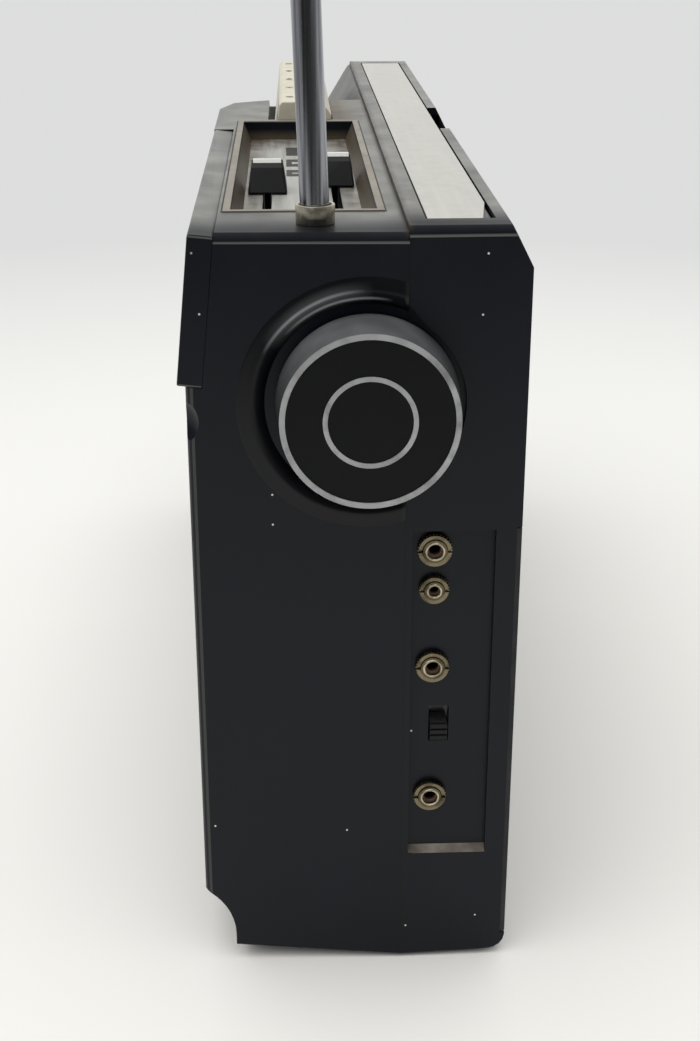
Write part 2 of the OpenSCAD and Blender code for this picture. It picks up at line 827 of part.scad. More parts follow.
module main_board() {
    board_mid = board_y + board_t / 2;
    color([0.45, 0.3, 0.12]) {
        block(board_s, [board_y, board_y + board_t], board_z);
        // Coils, a transformer and capacitors on the component side
        for (k = [0:3])
            block([board_s[0] + 8 + 12 * k, board_s[0] + 16 + 12 * k], [board_y - 11, board_mid],
                [board_z[1] - 10, board_z[1] - 2]);
        block([board_s[1] - 30, board_s[1] - 8], [board_y - 18, board_mid],
            [board_z[0] + 4, board_z[0] + 22]);
        for (k = [0:2])
            bar_y(board_s[1] - 14 - 12 * k, [board_y - 14, board_mid], board_z[1] - 8, 4.5);
    }
}

// Wound ferrite rod under the handle trough
module ferrite_antenna() {
    rod_top = trough_z - bay_skin;
    axis_z = rod_top - coil_r - 2;
    color([0.25, 0.2, 0.18]) {
        bar_x(ferrite_s, ferrite_y, axis_z, ferrite_r);
        for (s = [ferrite_s[0] + clip_w, ferrite_s[1] - 2 * clip_w])
            block([s, s + clip_w], [ferrite_y - coil_r, ferrite_y + coil_r], [axis_z, rod_top]);
        bar_x([ferrite_s[0] + 5 * clip_w, ferrite_s[1] - 6 * clip_w], ferrite_y, axis_z, coil_r);
    }
}

module antenna_collar() {
    color([0.6, 0.55, 0.45]) difference() {
        union() {
            bar_z(antenna_s, antenna_y, [deck_z, deck_z + collar_h], collar_r);
            bar_z(antenna_s, antenna_y, [deck_z - wall, deck_z + eps], stem_r - seat_gap);
        }
        bar_z(antenna_s, antenna_y, [deck_z - wall - eps, deck_z + collar_h + eps], collar_bore);
    }
}

module antenna_section(r, low, high) {
    on_antenna() translate([0, 0, low]) ring(high - low, r, r - tube_wall);
}

module antenna_tube() {
    color([0.82, 0.82, 0.84]) antenna_section(antenna_r, antenna_up - antenna_l, antenna_up);
}

module antenna_middle() {
    color([0.82, 0.82, 0.84]) antenna_section(middle_r, antenna_up - antenna_l + 5, antenna_up + 0.4);
}

module antenna_upper() {
    color([0.82, 0.82, 0.84]) antenna_section(upper_r, antenna_up - antenna_l + 8, antenna_up + 0.8);
}

// Innermost rod with the cap that closes the nested tubes
module antenna_tip() {
    color([0.82, 0.82, 0.84]) on_antenna() {
        translate([0, 0, antenna_up - antenna_l + 11]) cylinder(h = antenna_l - 9, r = tip_r);
        translate([0, 0, antenna_up + 1.2]) cylinder(h = 4, r = antenna_r);
        translate([0, 0, antenna_up + 5.2]) cylinder(h = 1.5, r1 = antenna_r, r2 = antenna_r - 1.2);
    }
}

function bore_r(k) = jack_small[k] ? small_jack_r : jack_r;
function thread_r(k) = bore_r(k) + thread_wall;
function ring_nut_r(k) = nut_r - (jack_small[k] ? 0.5 : 0);

// Socket with a threaded neck through the panel
module jack(k) {
    z = panel_top - jack_drops[k];
    color([0.6, 0.56, 0.42]) difference() {
        union() {
            block([jack_back, jack_back + 15], [jack_y - 4.6, jack_y + 4.6], [z - 4.4, z + 4.4]);
            bar_x([-0.2, jack_back + eps], jack_y, z, thread_r(k));
        }
        bar_x([-eps, jack_back + 12], jack_y, z, bore_r(k));
    }
}

module microphone_jack() {
    jack(0);
}

module remote_jack() {
    jack(1);
}

module line_jack() {
    jack(2);
}

module earphone_jack() {
    jack(3);
}

// Slotted ring nuts on the necks of the jacks
module jack_nuts() {
    color([0.68, 0.63, 0.48])
        for (k = [0:3]) {
            z = panel_top - jack_drops[k];
            difference() {
                bar_x([panel_depth - nut_t, panel_depth], jack_y, z, ring_nut_r(k));
                bar_x([-eps, 5], jack_y, z, thread_r(k) + seat_gap);
                block([panel_depth - nut_t - eps, panel_depth - nut_t + 0.7], [jack_y - 5, jack_y + 5],
                    [z - 0.4, z + 0.4]);
            }
        }
}

module slide_switch() {
    color([0.6, 0.6, 0.6]) difference() {
        block([jack_back, jack_back + 8], [switch_y - 4, switch_y + 4], [switch_z - 9, switch_z + 9]);
        block([jack_back - eps, jack_back + 3], [switch_y - switch_w / 2, switch_y + switch_w / 2],
            [switch_z - switch_h / 2, switch_z + switch_h / 2]);
    }
}

// Ribbed lever, resting in the lower part of its slot
module switch_lever() {
    low = switch_z - switch_h / 2 + 0.3;
    half = switch_w / 2 - 0.3;
    color([0.05, 0.05, 0.06]) {
        block([panel_depth - 0.4, jack_back + 2.6], [switch_y - half, switch_y + half], [low, low + lever_h]);
        for (k = [0:2])
            block([panel_depth - 1, panel_depth], [switch_y - half, switch_y + half],
                [low + 0.4 + 1.6 * k, low + 1.4 + 1.6 * k]);
    }
}

// Carrying handle that pulls straight up on two legs
module handle_bar() {
    bar_z = [rear_top - trim_t - handle_t, rear_top - trim_t];
    color([0.1, 0.1, 0.11]) {
        difference() {
            block([handle_s, handle_s + handle_l], [handle_y, handle_y + handle_w], bar_z);
            block([handle_s + 24, handle_s + handle_l - 24], [handle_y + 2, handle_y + handle_w - 2],
                [bar_z[0] - eps, bar_z[1] - 2]);
        }
        leg_places() {
            block([0, leg_w], [handle_y + 2, handle_y + handle_w - 2], [bar_z[0] - leg_l, bar_z[0]]);
            block([-1.6, leg_w + 1.6], [handle_y + 2, handle_y + handle_w - 2],
                [bar_z[0] - leg_l, bar_z[0] - leg_l + 4]);
        }
    }
}

// Metal strip on top of the handle, with one clipped corner at the right rear
module handle_trim() {
    clip = [18, 2.4];
    color([0.72, 0.71, 0.68]) sweep_z([rear_top - trim_t, rear_top], [
        [handle_s, handle_y], [handle_s + handle_l, handle_y],
        [handle_s + handle_l, handle_y + handle_w], [handle_s + clip[0], handle_y + handle_w],
        [handle_s, handle_y + handle_w - clip[1]]
    ]);
}

// Piano key: a hollow cap with a leaning face, on an arm back to the rod
module key(k) {
    s = keys_s + k * key_pitch;
    top = deck_z + key_up;
    back = key_y + key_d;
    color([0.86, 0.83, 0.72]) difference() {
        union() {
            sweep_x([s, s + key_w], [
                [key_y, key_bottom], [key_y + key_lean, top - 1], [key_y + key_lean + 1, top],
                [back - 3, top], [back, top - 4], [back, key_bottom]
            ]);
            block([s + arm_in, s + key_w - arm_in], [back - eps, rod_y], [key_bottom - 2, key_bottom + 3]);
            bar_x([s + arm_in, s + key_w - arm_in], rod_y, rod_z, rod_r + 1.8);
        }
        sweep_x([s + 1.6, s + key_w - 1.6], [
            [key_y + 1.8, key_bottom - eps], [key_y + key_lean + 1.4, top - 2.4],
            [back - 4, top - 2.4], [back - 1.8, key_bottom + 4], [back - 1.8, key_bottom - eps]
        ]);
        bar_x([s, s + key_w], rod_y, rod_z, rod_r + run_gap);
    }
}

module record_key() {
    key(0);
}

module play_key() {
    key(1);
}

module rewind_key() {
    key(2);
}

module forward_key() {
    key(3);
}

module stop_key() {
    key(4);
}

module key_rod() {
    color([0.7, 0.7, 0.72])
        bar_x([keys_s - free_gap - lug_w, keys_s + keys_l + free_gap + lug_w], rod_y, rod_z, rod_r);
}

// Door hinged along its rounded lower edge, with side lips that hold the cassette
module cassette_door() {
    s = [door_s, door_s + door_w];
    color([0.12, 0.12, 0.13]) difference() {
        union() {
            block(s, [0, door_t], [door_z + hinge_r, door_top]);
            bar_x(s, hinge_r, door_z + hinge_r, hinge_r);
            bar_x([s[0] - side_gap - 2, s[1] + side_gap + 2], hinge_r, door_z + hinge_r, pin_r);
            for (e = [s[0], s[1] - 1.6])
                block([e, e + 1.6], [door_t - eps, 13.5], [door_z + 8, door_top - 8]);
            for (e = [s[0], s[1] - 12])
                block([e, e + 12], [door_t - eps, 13.5], [door_z + 6.4, door_z + 8]);
        }
        block([s[0] + 10, s[1] - 10], [-eps, door_t + eps], [door_z + 14, door_top - 10]);
        block([s[0] + 8.5, s[1] - 8.5], [door_t - 1.4, door_t + eps], [door_z + 12.5, door_top - 8.5]);
    }
}

module cassette_window() {
    g = seat_gap;
    color([0.3, 0.3, 0.32, 0.5])
        block([door_s + 8.5 + g, door_s + door_w - 8.5 - g], [door_t - 1.4, door_t],
            [door_z + 12.5 + g, door_top - 8.5 - g]);
}

// Pressed plate behind the cassette, with the capstan's bearing
module mechanism_plate() {
    s = [door_s - side_gap - plate_lap, door_s + door_w + side_gap + plate_lap];
    color([0.6, 0.61, 0.62]) difference() {
        union() {
            block(s, [mech_y, mech_back], [mech_bottom - bay_wall, mech_top]);
            bar_y(capstan_s, [mech_back - 0.1, flywheel_y - 1], capstan_z, capstan_r + 2.4);
        }
        bar_y(capstan_s, [0, seam_y], capstan_z, capstan_r + run_gap);
        for (d = [-1, 1])
            bar_y(tape_s + d * hub_gap / 2, [0, seam_y], hub_z, 2 + run_gap);
    }
}

// Splined reel spindle on its turntable
module spindle(s) {
    color([0.85, 0.85, 0.82]) {
        bar_y(s, [hub_front, mech_y - 0.3], hub_z, 3.2);
        for (a = [0, 120, 240])
            translate([right_x - s, front_y + hub_front + 1, hub_z]) rotate([0, a, 0])
                translate([-0.6, 0, 0]) cube([1.2, mech_y - hub_front - 2, 4.6]);
        bar_y(s, [mech_y - 1.8, mech_y - 0.3], hub_z, 10);
        bar_y(s, [mech_y - 0.4, mech_back + 4], hub_z, 2);
        bar_y(s, [mech_back + 0.3, mech_back + 3], hub_z, 4);
    }
}

module supply_spindle() {
    spindle(tape_s + hub_gap / 2);
}

module take_up_spindle() {
    spindle(tape_s - hub_gap / 2);
}

// Sliding bridge with the erase head, the record and play head and the roller's pin
module head_bridge() {
    y = [mech_y - 0.3 - bridge_t, mech_y - 0.3];
    color([0.7, 0.7, 0.68]) {
        block([capstan_s - 6, tape_s + 28], y, [bridge_z, door_top]);
        block([tape_s - 6, tape_s + 6], [8, y[0] + 0.1], [bridge_z + 1, bridge_z + 9]);
        block([tape_s + 11, tape_s + 18], [8, y[0] + 0.1], [bridge_z + 1, bridge_z + 8]);
        bar_y(capstan_s, [8, y[0] + 0.1], roller_z, 0.9);
    }
}

module pinch_roller() {
    color([0.08, 0.08, 0.08]) difference() {
        bar_y(capstan_s, [9, mech_y - 2 - bridge_t], roller_z, roller_r);
        bar_y(capstan_s, [0, mech_y], roller_z, 0.9 + run_gap);
    }
}

// Flywheel with the capstan as its shaft
module flywheel() {
    y = [flywheel_y, flywheel_y + flywheel_t];
    color([0.66, 0.62, 0.5]) {
        difference() {
            bar_y(capstan_s, y, capstan_z, flywheel_r);
            translate([right_x - capstan_s, front_y + belt_y - 0.3, capstan_z]) rotate([-90, 0, 0])
                ring(belt_w + 0.6, flywheel_r + 5, flywheel_r - belt_t - 0.2);
        }
        bar_y(capstan_s, [6, y[0] + eps], capstan_z, capstan_r);
    }
}

module motor() {
    color([0.7, 0.71, 0.72]) difference() {
        bar_y(motor_s, [mech_back, flywheel_y - 2], motor_z, motor_r);
        bar_y(motor_s, [flywheel_y - 8, flywheel_y], motor_z, 1 + run_gap);
    }
}

module motor_pulley() {
    color([0.72, 0.6, 0.35]) {
        bar_y(motor_s, [flywheel_y - 7, flywheel_y], motor_z, 1);
        difference() {
            bar_y(motor_s, [flywheel_y - 1, flywheel_y + flywheel_t], motor_z, pulley_r);
            translate([right_x - motor_s, front_y + belt_y - 0.3, motor_z]) rotate([-90, 0, 0])
                ring(belt_w + 0.6, pulley_r + 5, pulley_r - belt_t - 0.2);
        }
    }
}

// Flat belt in the grooves of the motor pulley and the flywheel
module belt_loop(grow) {
    hull() {
        bar_y(capstan_s, [belt_y, belt_y + belt_w], capstan_z, flywheel_r - belt_t + grow, $fn = 32);
        bar_y(motor_s, [belt_y, belt_y + belt_w], motor_z, pulley_r - belt_t + grow, $fn = 32);
    }
}

module drive_belt() {
    color([0.06, 0.06, 0.06]) difference() {
        belt_loop(belt_t + 0.2);
        translate([0, -0.5, 0]) belt_loop(0.2);
        translate([0, 0.5, 0]) belt_loop(0.2);
    }
}

module speaker_turn(y) {
    translate([right_x - speaker_s, front_y + y, speaker_z]) rotate([-90, 0, 0]) children();
}

// Pressed basket with a flat rim on the inside of the front
module speaker_frame() {
    color([0.5, 0.5, 0.5]) speaker_turn(wall) difference() {
        union() {
            cylinder(h = 2, r = speaker_r);
            translate([0, 0, 2]) cylinder(h = basket_h - 2, r1 = speaker_r - 3, r2 = 22);
        }
        translate([0, 0, -0.01]) cylinder(h = 1, r = speaker_r - 4);
        translate([0, 0, 0.98]) cylinder(h = basket_h - 2.5, r1 = speaker_r - 4.4, r2 = 20);
        translate([0, 0, basket_h / 2]) cylinder(h = basket_h, r = 14);
    }
}

module speaker_cone() {
    color([0.1, 0.1, 0.1]) speaker_turn(wall) difference() {
        translate([0, 0, 0.5]) union() {
            cylinder(h = 0.48, r = speaker_r - 4.1);
            translate([0, 0, 0.48]) cylinder(h = 14, r1 = speaker_r - 7, r2 = 13);
        }
        translate([0, 0, 0.4]) cylinder(h = 13.6, r1 = speaker_r - 8, r2 = 12);
    }
}

module speaker_magnet() {
    color([0.2, 0.2, 0.21]) speaker_turn(wall) {
        translate([0, 0, basket_h]) cylinder(h = 3, r = 24);
        translate([0, 0, basket_h + 3]) cylinder(h = speaker_depth - basket_h - 5, r = 22);
        translate([0, 0, speaker_depth - 2]) cylinder(h = 2, r = 20);
    }
}

// Louvred grille in the front
module speaker_grille() {
    pitch = 4.4;
    rows = floor((grille_h - 2 * grille_rib) / pitch);
    g = seat_gap;
    color([0.09, 0.09, 0.1]) difference() {
        block([grille_s + g, grille_s + grille_l - g], [0, grille_t],
            [grille_z + g, grille_z + grille_h - g]);
        for (k = [0:rows - 1], half = [0, 1]) {
            z = grille_z + grille_rib + k * pitch;
            s = grille_s + grille_rib + half * grille_l / 2;
            block([s, s + grille_l / 2 - 2 * grille_rib], [-eps, grille_t + eps], [z, z + pitch - 2]);
        }
    }
}

module microphone() {
    color([0.5, 0.5, 0.5]) bar_y(mic_s, [wall, wall + 7], mic_z, mic_r);
}

// Lid over the lower back, hinged along its rounded lower edge, with two grooved thumb grips
module battery_lid() {
    s = [lid_in, case_l - lid_in];
    r = lid_t / 2;
    grip_w = 24;
    tab_w = 12;
    color([0.1, 0.1, 0.11]) {
        difference() {
            union() {
                block(s, [back_y, case_d], [lid_z + r, lid_z + lid_h]);
                bar_x(s, back_y + r, lid_z + r, r);
            }
            for (g = [bay_s + 20, bay_s + bay_l - 20 - grip_w], k = [0:3]) {
                z = lid_z + lid_h - 8 - 2.6 * k;
                block([g, g + grip_w], [case_d - lid_t / 2, case_d + eps], [z, z + 1.3]);
            }
        }
        for (g = [bay_s + 20, bay_s + bay_l - 20 - tab_w])
            block([g, g + tab_w], [back_y - 2, back_y + 0.1], [bay_z + bay_h - 2, bay_z + bay_h - 0.5]);
    }
}

// Flat contacts and coil-spring stand-ins at both ends of each row of cells
module battery_contacts() {
    row_h = bay_h / cell_rows;
    mid_y = (bay_y + back_y) / 2;
    color([0.75, 0.75, 0.72])
        for (k = [0:cell_rows - 1]) {
            z = bay_z + row_h * (k + 0.5);
            block([bay_s, bay_s + 0.6], [mid_y - 9, mid_y + 9], [z - 9, z + 9]);
            block([bay_s + bay_l - 0.6, bay_s + bay_l], [mid_y - 9, mid_y + 9], [z - 9, z + 9]);
            translate([right_x - bay_s - bay_l + 0.5, front_y + mid_y, z]) rotate([0, 90, 0])
                cylinder(h = 6, r1 = 7, r2 = 4);
            translate([right_x - bay_s - 1.6, front_y + mid_y, z]) rotate([0, 90, 0])
                cylinder(h = 1.1, r = 4);
        }
}

module case_screws() {
    color([0.7, 0.7, 0.72])
        for (p = screw_places) {
            bar_y(p[0], [seam_y - 10, head_y + 0.1], p[1], screw_r - seat_gap);
            difference() {
                bar_y(p[0], [head_y, head_y + 2], p[1], head_r);
                block([p[0] - 2, p[0] + 2], [head_y + 1, head_y + 3], [p[1] - 0.4, p[1] + 0.4]);
                block([p[0] - 0.4, p[0] + 0.4], [head_y + 1, head_y + 3], [p[1] - 2, p[1] + 2]);
            }
        }
}

module feet() {
    color([0.06, 0.06, 0.06])
        for (p = foot_places)
            bar_z(p[0], p[1], [0, foot_top], foot_r);
}

front_case();
rear_case();
dial_housing();
dial_window();
dial_scale();
dial_pointer();
control_plate();
volume_pot();
tone_pot();
volume_knob();
tone_knob();
tuning_knob();
knob_rings();
tuning_shaft();
tuning_bush();
tuning_capacitor();
main_board();
ferrite_antenna();
antenna_collar();
antenna_tube();
antenna_middle();
antenna_upper();
antenna_tip();
microphone_jack();
remote_jack();
line_jack();
earphone_jack();
jack_nuts();
slide_switch();
switch_lever();
handle_bar();
handle_trim();
record_key();
play_key();
rewind_key();
forward_key();
stop_key();
key_rod();
cassette_door();
cassette_window();
mechanism_plate();
supply_spindle();
take_up_spindle();
head_bridge();
pinch_roller();
flywheel();
motor();
motor_pulley();
drive_belt();
speaker_frame();
speaker_cone();
speaker_magnet();
speaker_grille();
microphone();
battery_lid();
battery_contacts();
case_screws();
feet();
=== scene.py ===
"""Looks of a portable radio cassette recorder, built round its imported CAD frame. Metres, +Z up."""

import json
import math

import bmesh
import bpy
from mathutils import Euler, Matrix, Vector


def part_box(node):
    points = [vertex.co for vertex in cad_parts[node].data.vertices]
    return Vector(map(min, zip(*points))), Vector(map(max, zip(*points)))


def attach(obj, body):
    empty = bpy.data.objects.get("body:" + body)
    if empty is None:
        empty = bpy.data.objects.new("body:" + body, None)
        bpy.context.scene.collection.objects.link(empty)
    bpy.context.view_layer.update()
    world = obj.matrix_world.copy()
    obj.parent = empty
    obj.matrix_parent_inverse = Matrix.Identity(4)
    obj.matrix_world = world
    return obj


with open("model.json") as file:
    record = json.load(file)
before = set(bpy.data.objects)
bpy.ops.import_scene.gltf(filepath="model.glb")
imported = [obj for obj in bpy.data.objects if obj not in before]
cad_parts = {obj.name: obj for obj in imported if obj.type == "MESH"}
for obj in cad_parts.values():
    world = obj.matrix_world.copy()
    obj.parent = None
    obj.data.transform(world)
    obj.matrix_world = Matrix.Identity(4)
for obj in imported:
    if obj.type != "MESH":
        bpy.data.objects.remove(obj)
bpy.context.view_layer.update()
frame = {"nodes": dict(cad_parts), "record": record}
nodes = frame["nodes"]

# Reference planes of the case, read from the frame; sizes named below are in mm where no other unit is given
MM = 0.001
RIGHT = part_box("rear_case")[1][0]
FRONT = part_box("front_case")[0][1]
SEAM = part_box("front_case")[1][1]
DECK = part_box("front_case")[1][2]
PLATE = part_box("control_plate")[1][2]


def middle(node):
    """The middle of a node's box."""
    lo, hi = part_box(node)
    return [(a + b) / 2 for a, b in zip(lo, hi)]


def srgb(r, g, b):
    """Linear colour of an 8-bit screen colour."""
    def channel(v):
        v = v / 255
        return v / 12.92 if v <= 0.04045 else ((v + 0.055) / 1.055) ** 2.4
    return (channel(r), channel(g), channel(b), 1.0)


# Material building

# Where most values of a noise lie, and a wider span for gentler changes
NOISE_SPAN = (0.3, 0.7)
WIDE_SPAN = (0.25, 0.75)
# The sockets of a Mix node that take and give colours
MIX_COLOURS = (6, 7)
MIX_RESULT = 2
BUMP_DEPTH = 0.2
SOFT_EDGE = 0.3
# Specks: the size of the cells they are spread over, their radius, and the share of it that is fully pale
SPECK_CELL = 16.0
SPECK_RADIUS = 0.3
SPECK_CORE = 0.6


def map_range(tree, value, numbers):
    """The value moved from one range to another; the numbers are from low, from high, to low and to high."""
    node = tree.nodes.new("ShaderNodeMapRange")
    for socket, number in zip(("From Min", "From Max", "To Min", "To Max"), numbers):
        node.inputs[socket].default_value = number
    tree.links.new(value, node.inputs["Value"])
    return node.outputs["Result"]


class Painter:
    """One procedural material: a Principled shader and the nodes that feed it."""

    def __init__(self, name):
        self.material = bpy.data.materials.new(name)
        self.material.use_nodes = True
        self.tree = self.material.node_tree
        self.shader = self.tree.nodes["Principled BSDF"]
        self.coords = self.add("TexCoord").outputs["Object"]

    def add(self, kind):
        """A new shader node of a kind."""
        return self.tree.nodes.new("ShaderNode" + kind)

    def set(self, **sockets):
        """Sets plain values of the shader, with an underscore for each space in a socket's name."""
        for name, value in sockets.items():
            self.shader.inputs[name.replace("_", " ")].default_value = value
        return self

    def link(self, source, target):
        """Feeds a node's output to a socket."""
        self.tree.links.new(source, target)

    def feed(self, target, value):
        """Sets a socket to a plain tuple, or links a node's output to it."""
        if isinstance(value, tuple):
            target.default_value = value
        else:
            self.link(value, target)

    def vector(self, operation, a, b=None, result="Vector"):
        """The result of an operation on one or two vectors."""
        node = self.add("VectorMath")
        node.operation = operation
        self.feed(node.inputs[0], a)
        if b is not None:
            self.feed(node.inputs[1], b)
        return node.outputs[result]

    def stretched(self, scale):
        """The coordinates, squeezed along some axes so that noise turns into streaks."""
        node = self.add("Mapping")
        node.inputs["Scale"].default_value = scale
        self.link(self.coords, node.inputs["Vector"])
        return node.outputs["Vector"]

    def noise(self, scale, detail=3.0, vector=None):
        """Cloudy noise, finer for a larger scale."""
        node = self.add("TexNoise")
        node.inputs["Scale"].default_value = scale
        node.inputs["Detail"].default_value = detail
        self.link(vector or self.coords, node.inputs["Vector"])
        return node.outputs["Fac"]

    def remap(self, value, low, high, to_low=0.0, to_high=1.0):
        """The value moved from one range to another, and held inside it."""
        return map_range(self.tree, value, (low, high, to_low, to_high))

    def between(self, value, start, end):
        """A number that goes from start to end while the value goes from 0 to 1."""
        return self.remap(value, 0.0, 1.0, start, end)

    def times(self, *values):
        """The product of some values."""
        product = values[0]
        for value in values[1:]:
            node = self.add("Math")
            node.operation = "MULTIPLY"
            self.link(product, node.inputs[0])
            self.link(value, node.inputs[1])
            product = node.outputs[0]
        return product

    def mix(self, factor, a, b):
        """Colour a where the factor is 0 and colour b where it is 1."""
        node = self.add("Mix")
        node.data_type = "RGBA"
        self.link(factor, node.inputs["Factor"])
        for socket, colour in zip(MIX_COLOURS, (a, b)):
            self.feed(node.inputs[socket], colour)
        return node.outputs[MIX_RESULT]

    def mottled(self, noise, a, b):
        """Colour a where a noise is low and colour b where it is high."""
        return self.mix(self.remap(noise, *NOISE_SPAN), a, b)

    def along(self, vector, axis, low, high):
        """How far a vector reaches along an axis, from 0 at low to 1 at high."""
        split = self.add("SeparateXYZ")
        self.link(vector, split.inputs[0])
        return self.remap(split.outputs[axis], low, high)

    def facing(self, axis, low, high):
        """How much the surface faces an axis of the shared frame, from 0 at low to 1 at high."""
        return self.along(self.add("NewGeometry").outputs["Normal"], axis, low, high)

    def place(self, axis, low, high):
        """How far along an axis the surface point is, from 0 at low to 1 at high, in metres."""
        return self.along(self.coords, axis, low, high)

    def band(self, axis, centre, half):
        """A soft band about a plane, 1 on the plane and 0 at half its width."""
        return self.times(self.place(axis, centre - half, centre), self.place(axis, centre + half, centre))

    def within(self, axis, low, high, soft=SOFT_EDGE * MM):
        """1 between two planes and 0 outside them, over a soft edge."""
        return self.times(self.place(axis, low - soft, low), self.place(axis, high + soft, high))

    def specks(self, share):
        """Sparse specks on what faces +X, in this share of the cells."""
        split = self.add("SeparateXYZ")
        flat = self.add("CombineXYZ")
        self.link(self.coords, split.inputs[0])
        self.link(split.outputs["Y"], flat.inputs[0])
        self.link(split.outputs["Z"], flat.inputs[1])
        cells = self.add("TexVoronoi")
        cells.voronoi_dimensions = "2D"
        cells.inputs["Scale"].default_value = 1 / (SPECK_CELL * MM)
        self.link(flat.outputs[0], cells.inputs["Vector"])
        pick = self.add("SeparateColor")
        self.link(cells.outputs["Color"], pick.inputs[0])
        chosen = self.remap(pick.outputs[0], 1 - share, 1 - share + 0.01)
        radius = SPECK_RADIUS / SPECK_CELL
        near = self.remap(cells.outputs["Distance"], radius, SPECK_CORE * radius)
        return self.times(chosen, near, self.facing("X", 0.8, 0.95))

    def colour(self, source):
        """Feeds the shader's colour."""
        self.link(source, self.shader.inputs["Base Color"])
        return self

    def roughness(self, source):
        """Feeds the shader's roughness."""
        self.link(source, self.shader.inputs["Roughness"])
        return self

    def bump(self, height, strength):
        """Feeds the shader's normal with a fine relief."""
        node = self.add("Bump")
        node.inputs["Strength"].default_value = strength
        node.inputs["Distance"].default_value = BUMP_DEPTH * MM
        self.link(height, node.inputs["Height"])
        self.link(node.outputs["Normal"], self.shader.inputs["Normal"])
        return self


DUST = srgb(150, 149, 143)
GRIME = srgb(92, 82, 68)
SPECK = srgb(222, 222, 214)
SEAM_DIRT = srgb(52, 45, 37)
# Pale grey of the painted highlight on the rounded edges near the right end and on the lid's end edge
EDGE_HIGHLIGHT = srgb(94, 94, 91)
JOINT = srgb(6, 6, 7)
KNOB_DUST = srgb(138, 140, 142)
# Pale grey of the painted highlight arcs on the dish lip
ARC_HIGHLIGHT = srgb(192, 194, 196)

# Black plastic: its index, its shine, the scales of its clouds and grain, and the strengths of two grains
PLASTIC_IOR = 1.45
PLASTIC_SHINE = 0.27
CLOUDS = 38
FINE_GRAIN = 2600
PLASTIC_GRAIN = 0.06
SMOOTH_GRAIN = 0.05

# The keys' back behind the front face, and the shelf under them below the deck
KEY_BACK = 38.3
KEY_SHELF = 18.0

# Dirt behind the keys: its start and its end left of the recess, how far down it goes, and its soft edge
DIRT_START = (2.0, 6.0)
DIRT_END = (85.0, 45.0)
DIRT_DEPTH = 13.0
DIRT_SOFT = 0.7

# Dirt of the recess: how far its limits lie beyond the plate, and the line at the foot of the far end
RECESS_REACH = 3.0
FOOT_HALF = 1.2
FOOT_TALL = 0.6
FOOT_SOFT = 2.6

# Half widths of the dirt along the seam on the deck and of the dark joint down the end
SEAM_HALF = 1.5
JOINT_HALF = 0.45

# Distances from the right end at which the painted edge highlight, the dull top edge and the dust set in and
# are full
EDGE_REACH = (5.0, 3.0)
DULL_REACH = (16.0, 6.0)
DUST_REACH = (10.0, 23.0)


def from_right(p, reach):
    """Goes from 0 to 1 between two distances from the right end."""
    return p.place("X", *(RIGHT - s * MM for s in reach))


def behind_keys(p):
    """The deck and the slope behind the nearest keys, where dirt gathers."""
    back = FRONT + KEY_BACK * MM
    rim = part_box("control_plate")[0][0]
    start = p.place("X", *(rim - left * MM for left in DIRT_START))
    end = p.place("X", *(rim - left * MM for left in DIRT_END))
    first, full, last = back - 2 * MM, back + 3 * MM, SEAM - 0.5 * MM
    across = p.times(p.place("Y", first, back), p.place("Y", last, full))
    level = p.within("Z", DECK - DIRT_DEPTH * MM, DECK + 0.2 * MM, DIRT_SOFT * MM)
    return p.times(start, end, across, level)


def deck_soil(p, tone):
    """Dirt on the slopes of the recess and behind the keys, at the recess's far end and along the seam."""
    lo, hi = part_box("control_plate")
    reach = RECESS_REACH * MM
    patch = p.remap(p.noise(170, 6), *NOISE_SPAN, 0.65, 1.0)
    recess = p.times(
        p.within("X", lo[0] - reach, hi[0] + reach), p.within("Y", lo[1] - reach, hi[1] + reach))
    below = PLATE - 1 * MM
    sunk = p.times(p.facing("Z", 0.15, 0.35), p.within("Z", below, DECK - 1 * MM, DIRT_SOFT * MM))
    tone = p.mix(p.times(recess, sunk, patch), tone, GRIME)
    line = p.within("Z", below, PLATE + FOOT_TALL * MM, FOOT_SOFT * MM)
    foot = p.times(p.band("X", lo[0], FOOT_HALF * MM), line)
    tone = p.mix(p.times(recess, foot, patch), tone, GRIME)
    tone = p.mix(p.times(behind_keys(p), patch), tone, GRIME)
    seam = p.times(p.band("Y", SEAM, SEAM_HALF * MM), p.facing("Z", 0.5, 0.9))
    return p.mix(p.times(seam, p.remap(p.noise(240, 6), 0.35, 0.6, 0.6, 1.0)), tone, SEAM_DIRT)


def joint_and_edge_highlight(p, tone):
    """A thin pale line painted as a highlight along the rounded edges near the right end, and the dark joint
    of the two halves.
    """
    joint = p.times(p.band("Y", SEAM, JOINT_HALF * MM), p.facing("X", 0.7, 0.9))
    tone = p.mix(joint, tone, JOINT)
    # Painted highlight: a thin pale line on the rounded edges near the right end
    line = p.times(p.facing("X", 0.9, 0.95), p.facing("X", 0.992, 0.965))
    return p.mix(p.times(line, from_right(p, EDGE_REACH)), tone, EDGE_HIGHLIGHT)


def case_shine(p):
    """Shine of the case, dull along the top of the right end and behind the keys."""
    dull = p.times(p.facing("Z", 0.15, 0.5), from_right(p, DULL_REACH))
    return p.times(p.between(dull, PLASTIC_SHINE, 0.05), p.between(behind_keys(p), 1.0, 0.2))


def moulded(p, tone, cloud, rough, grain):
    """Finishes a plastic: its colour, a roughness between two values and its fine grain."""
    p.colour(tone).roughness(p.remap(cloud, *WIDE_SPAN, *rough))
    return p.bump(p.noise(FINE_GRAIN, 2), grain).material


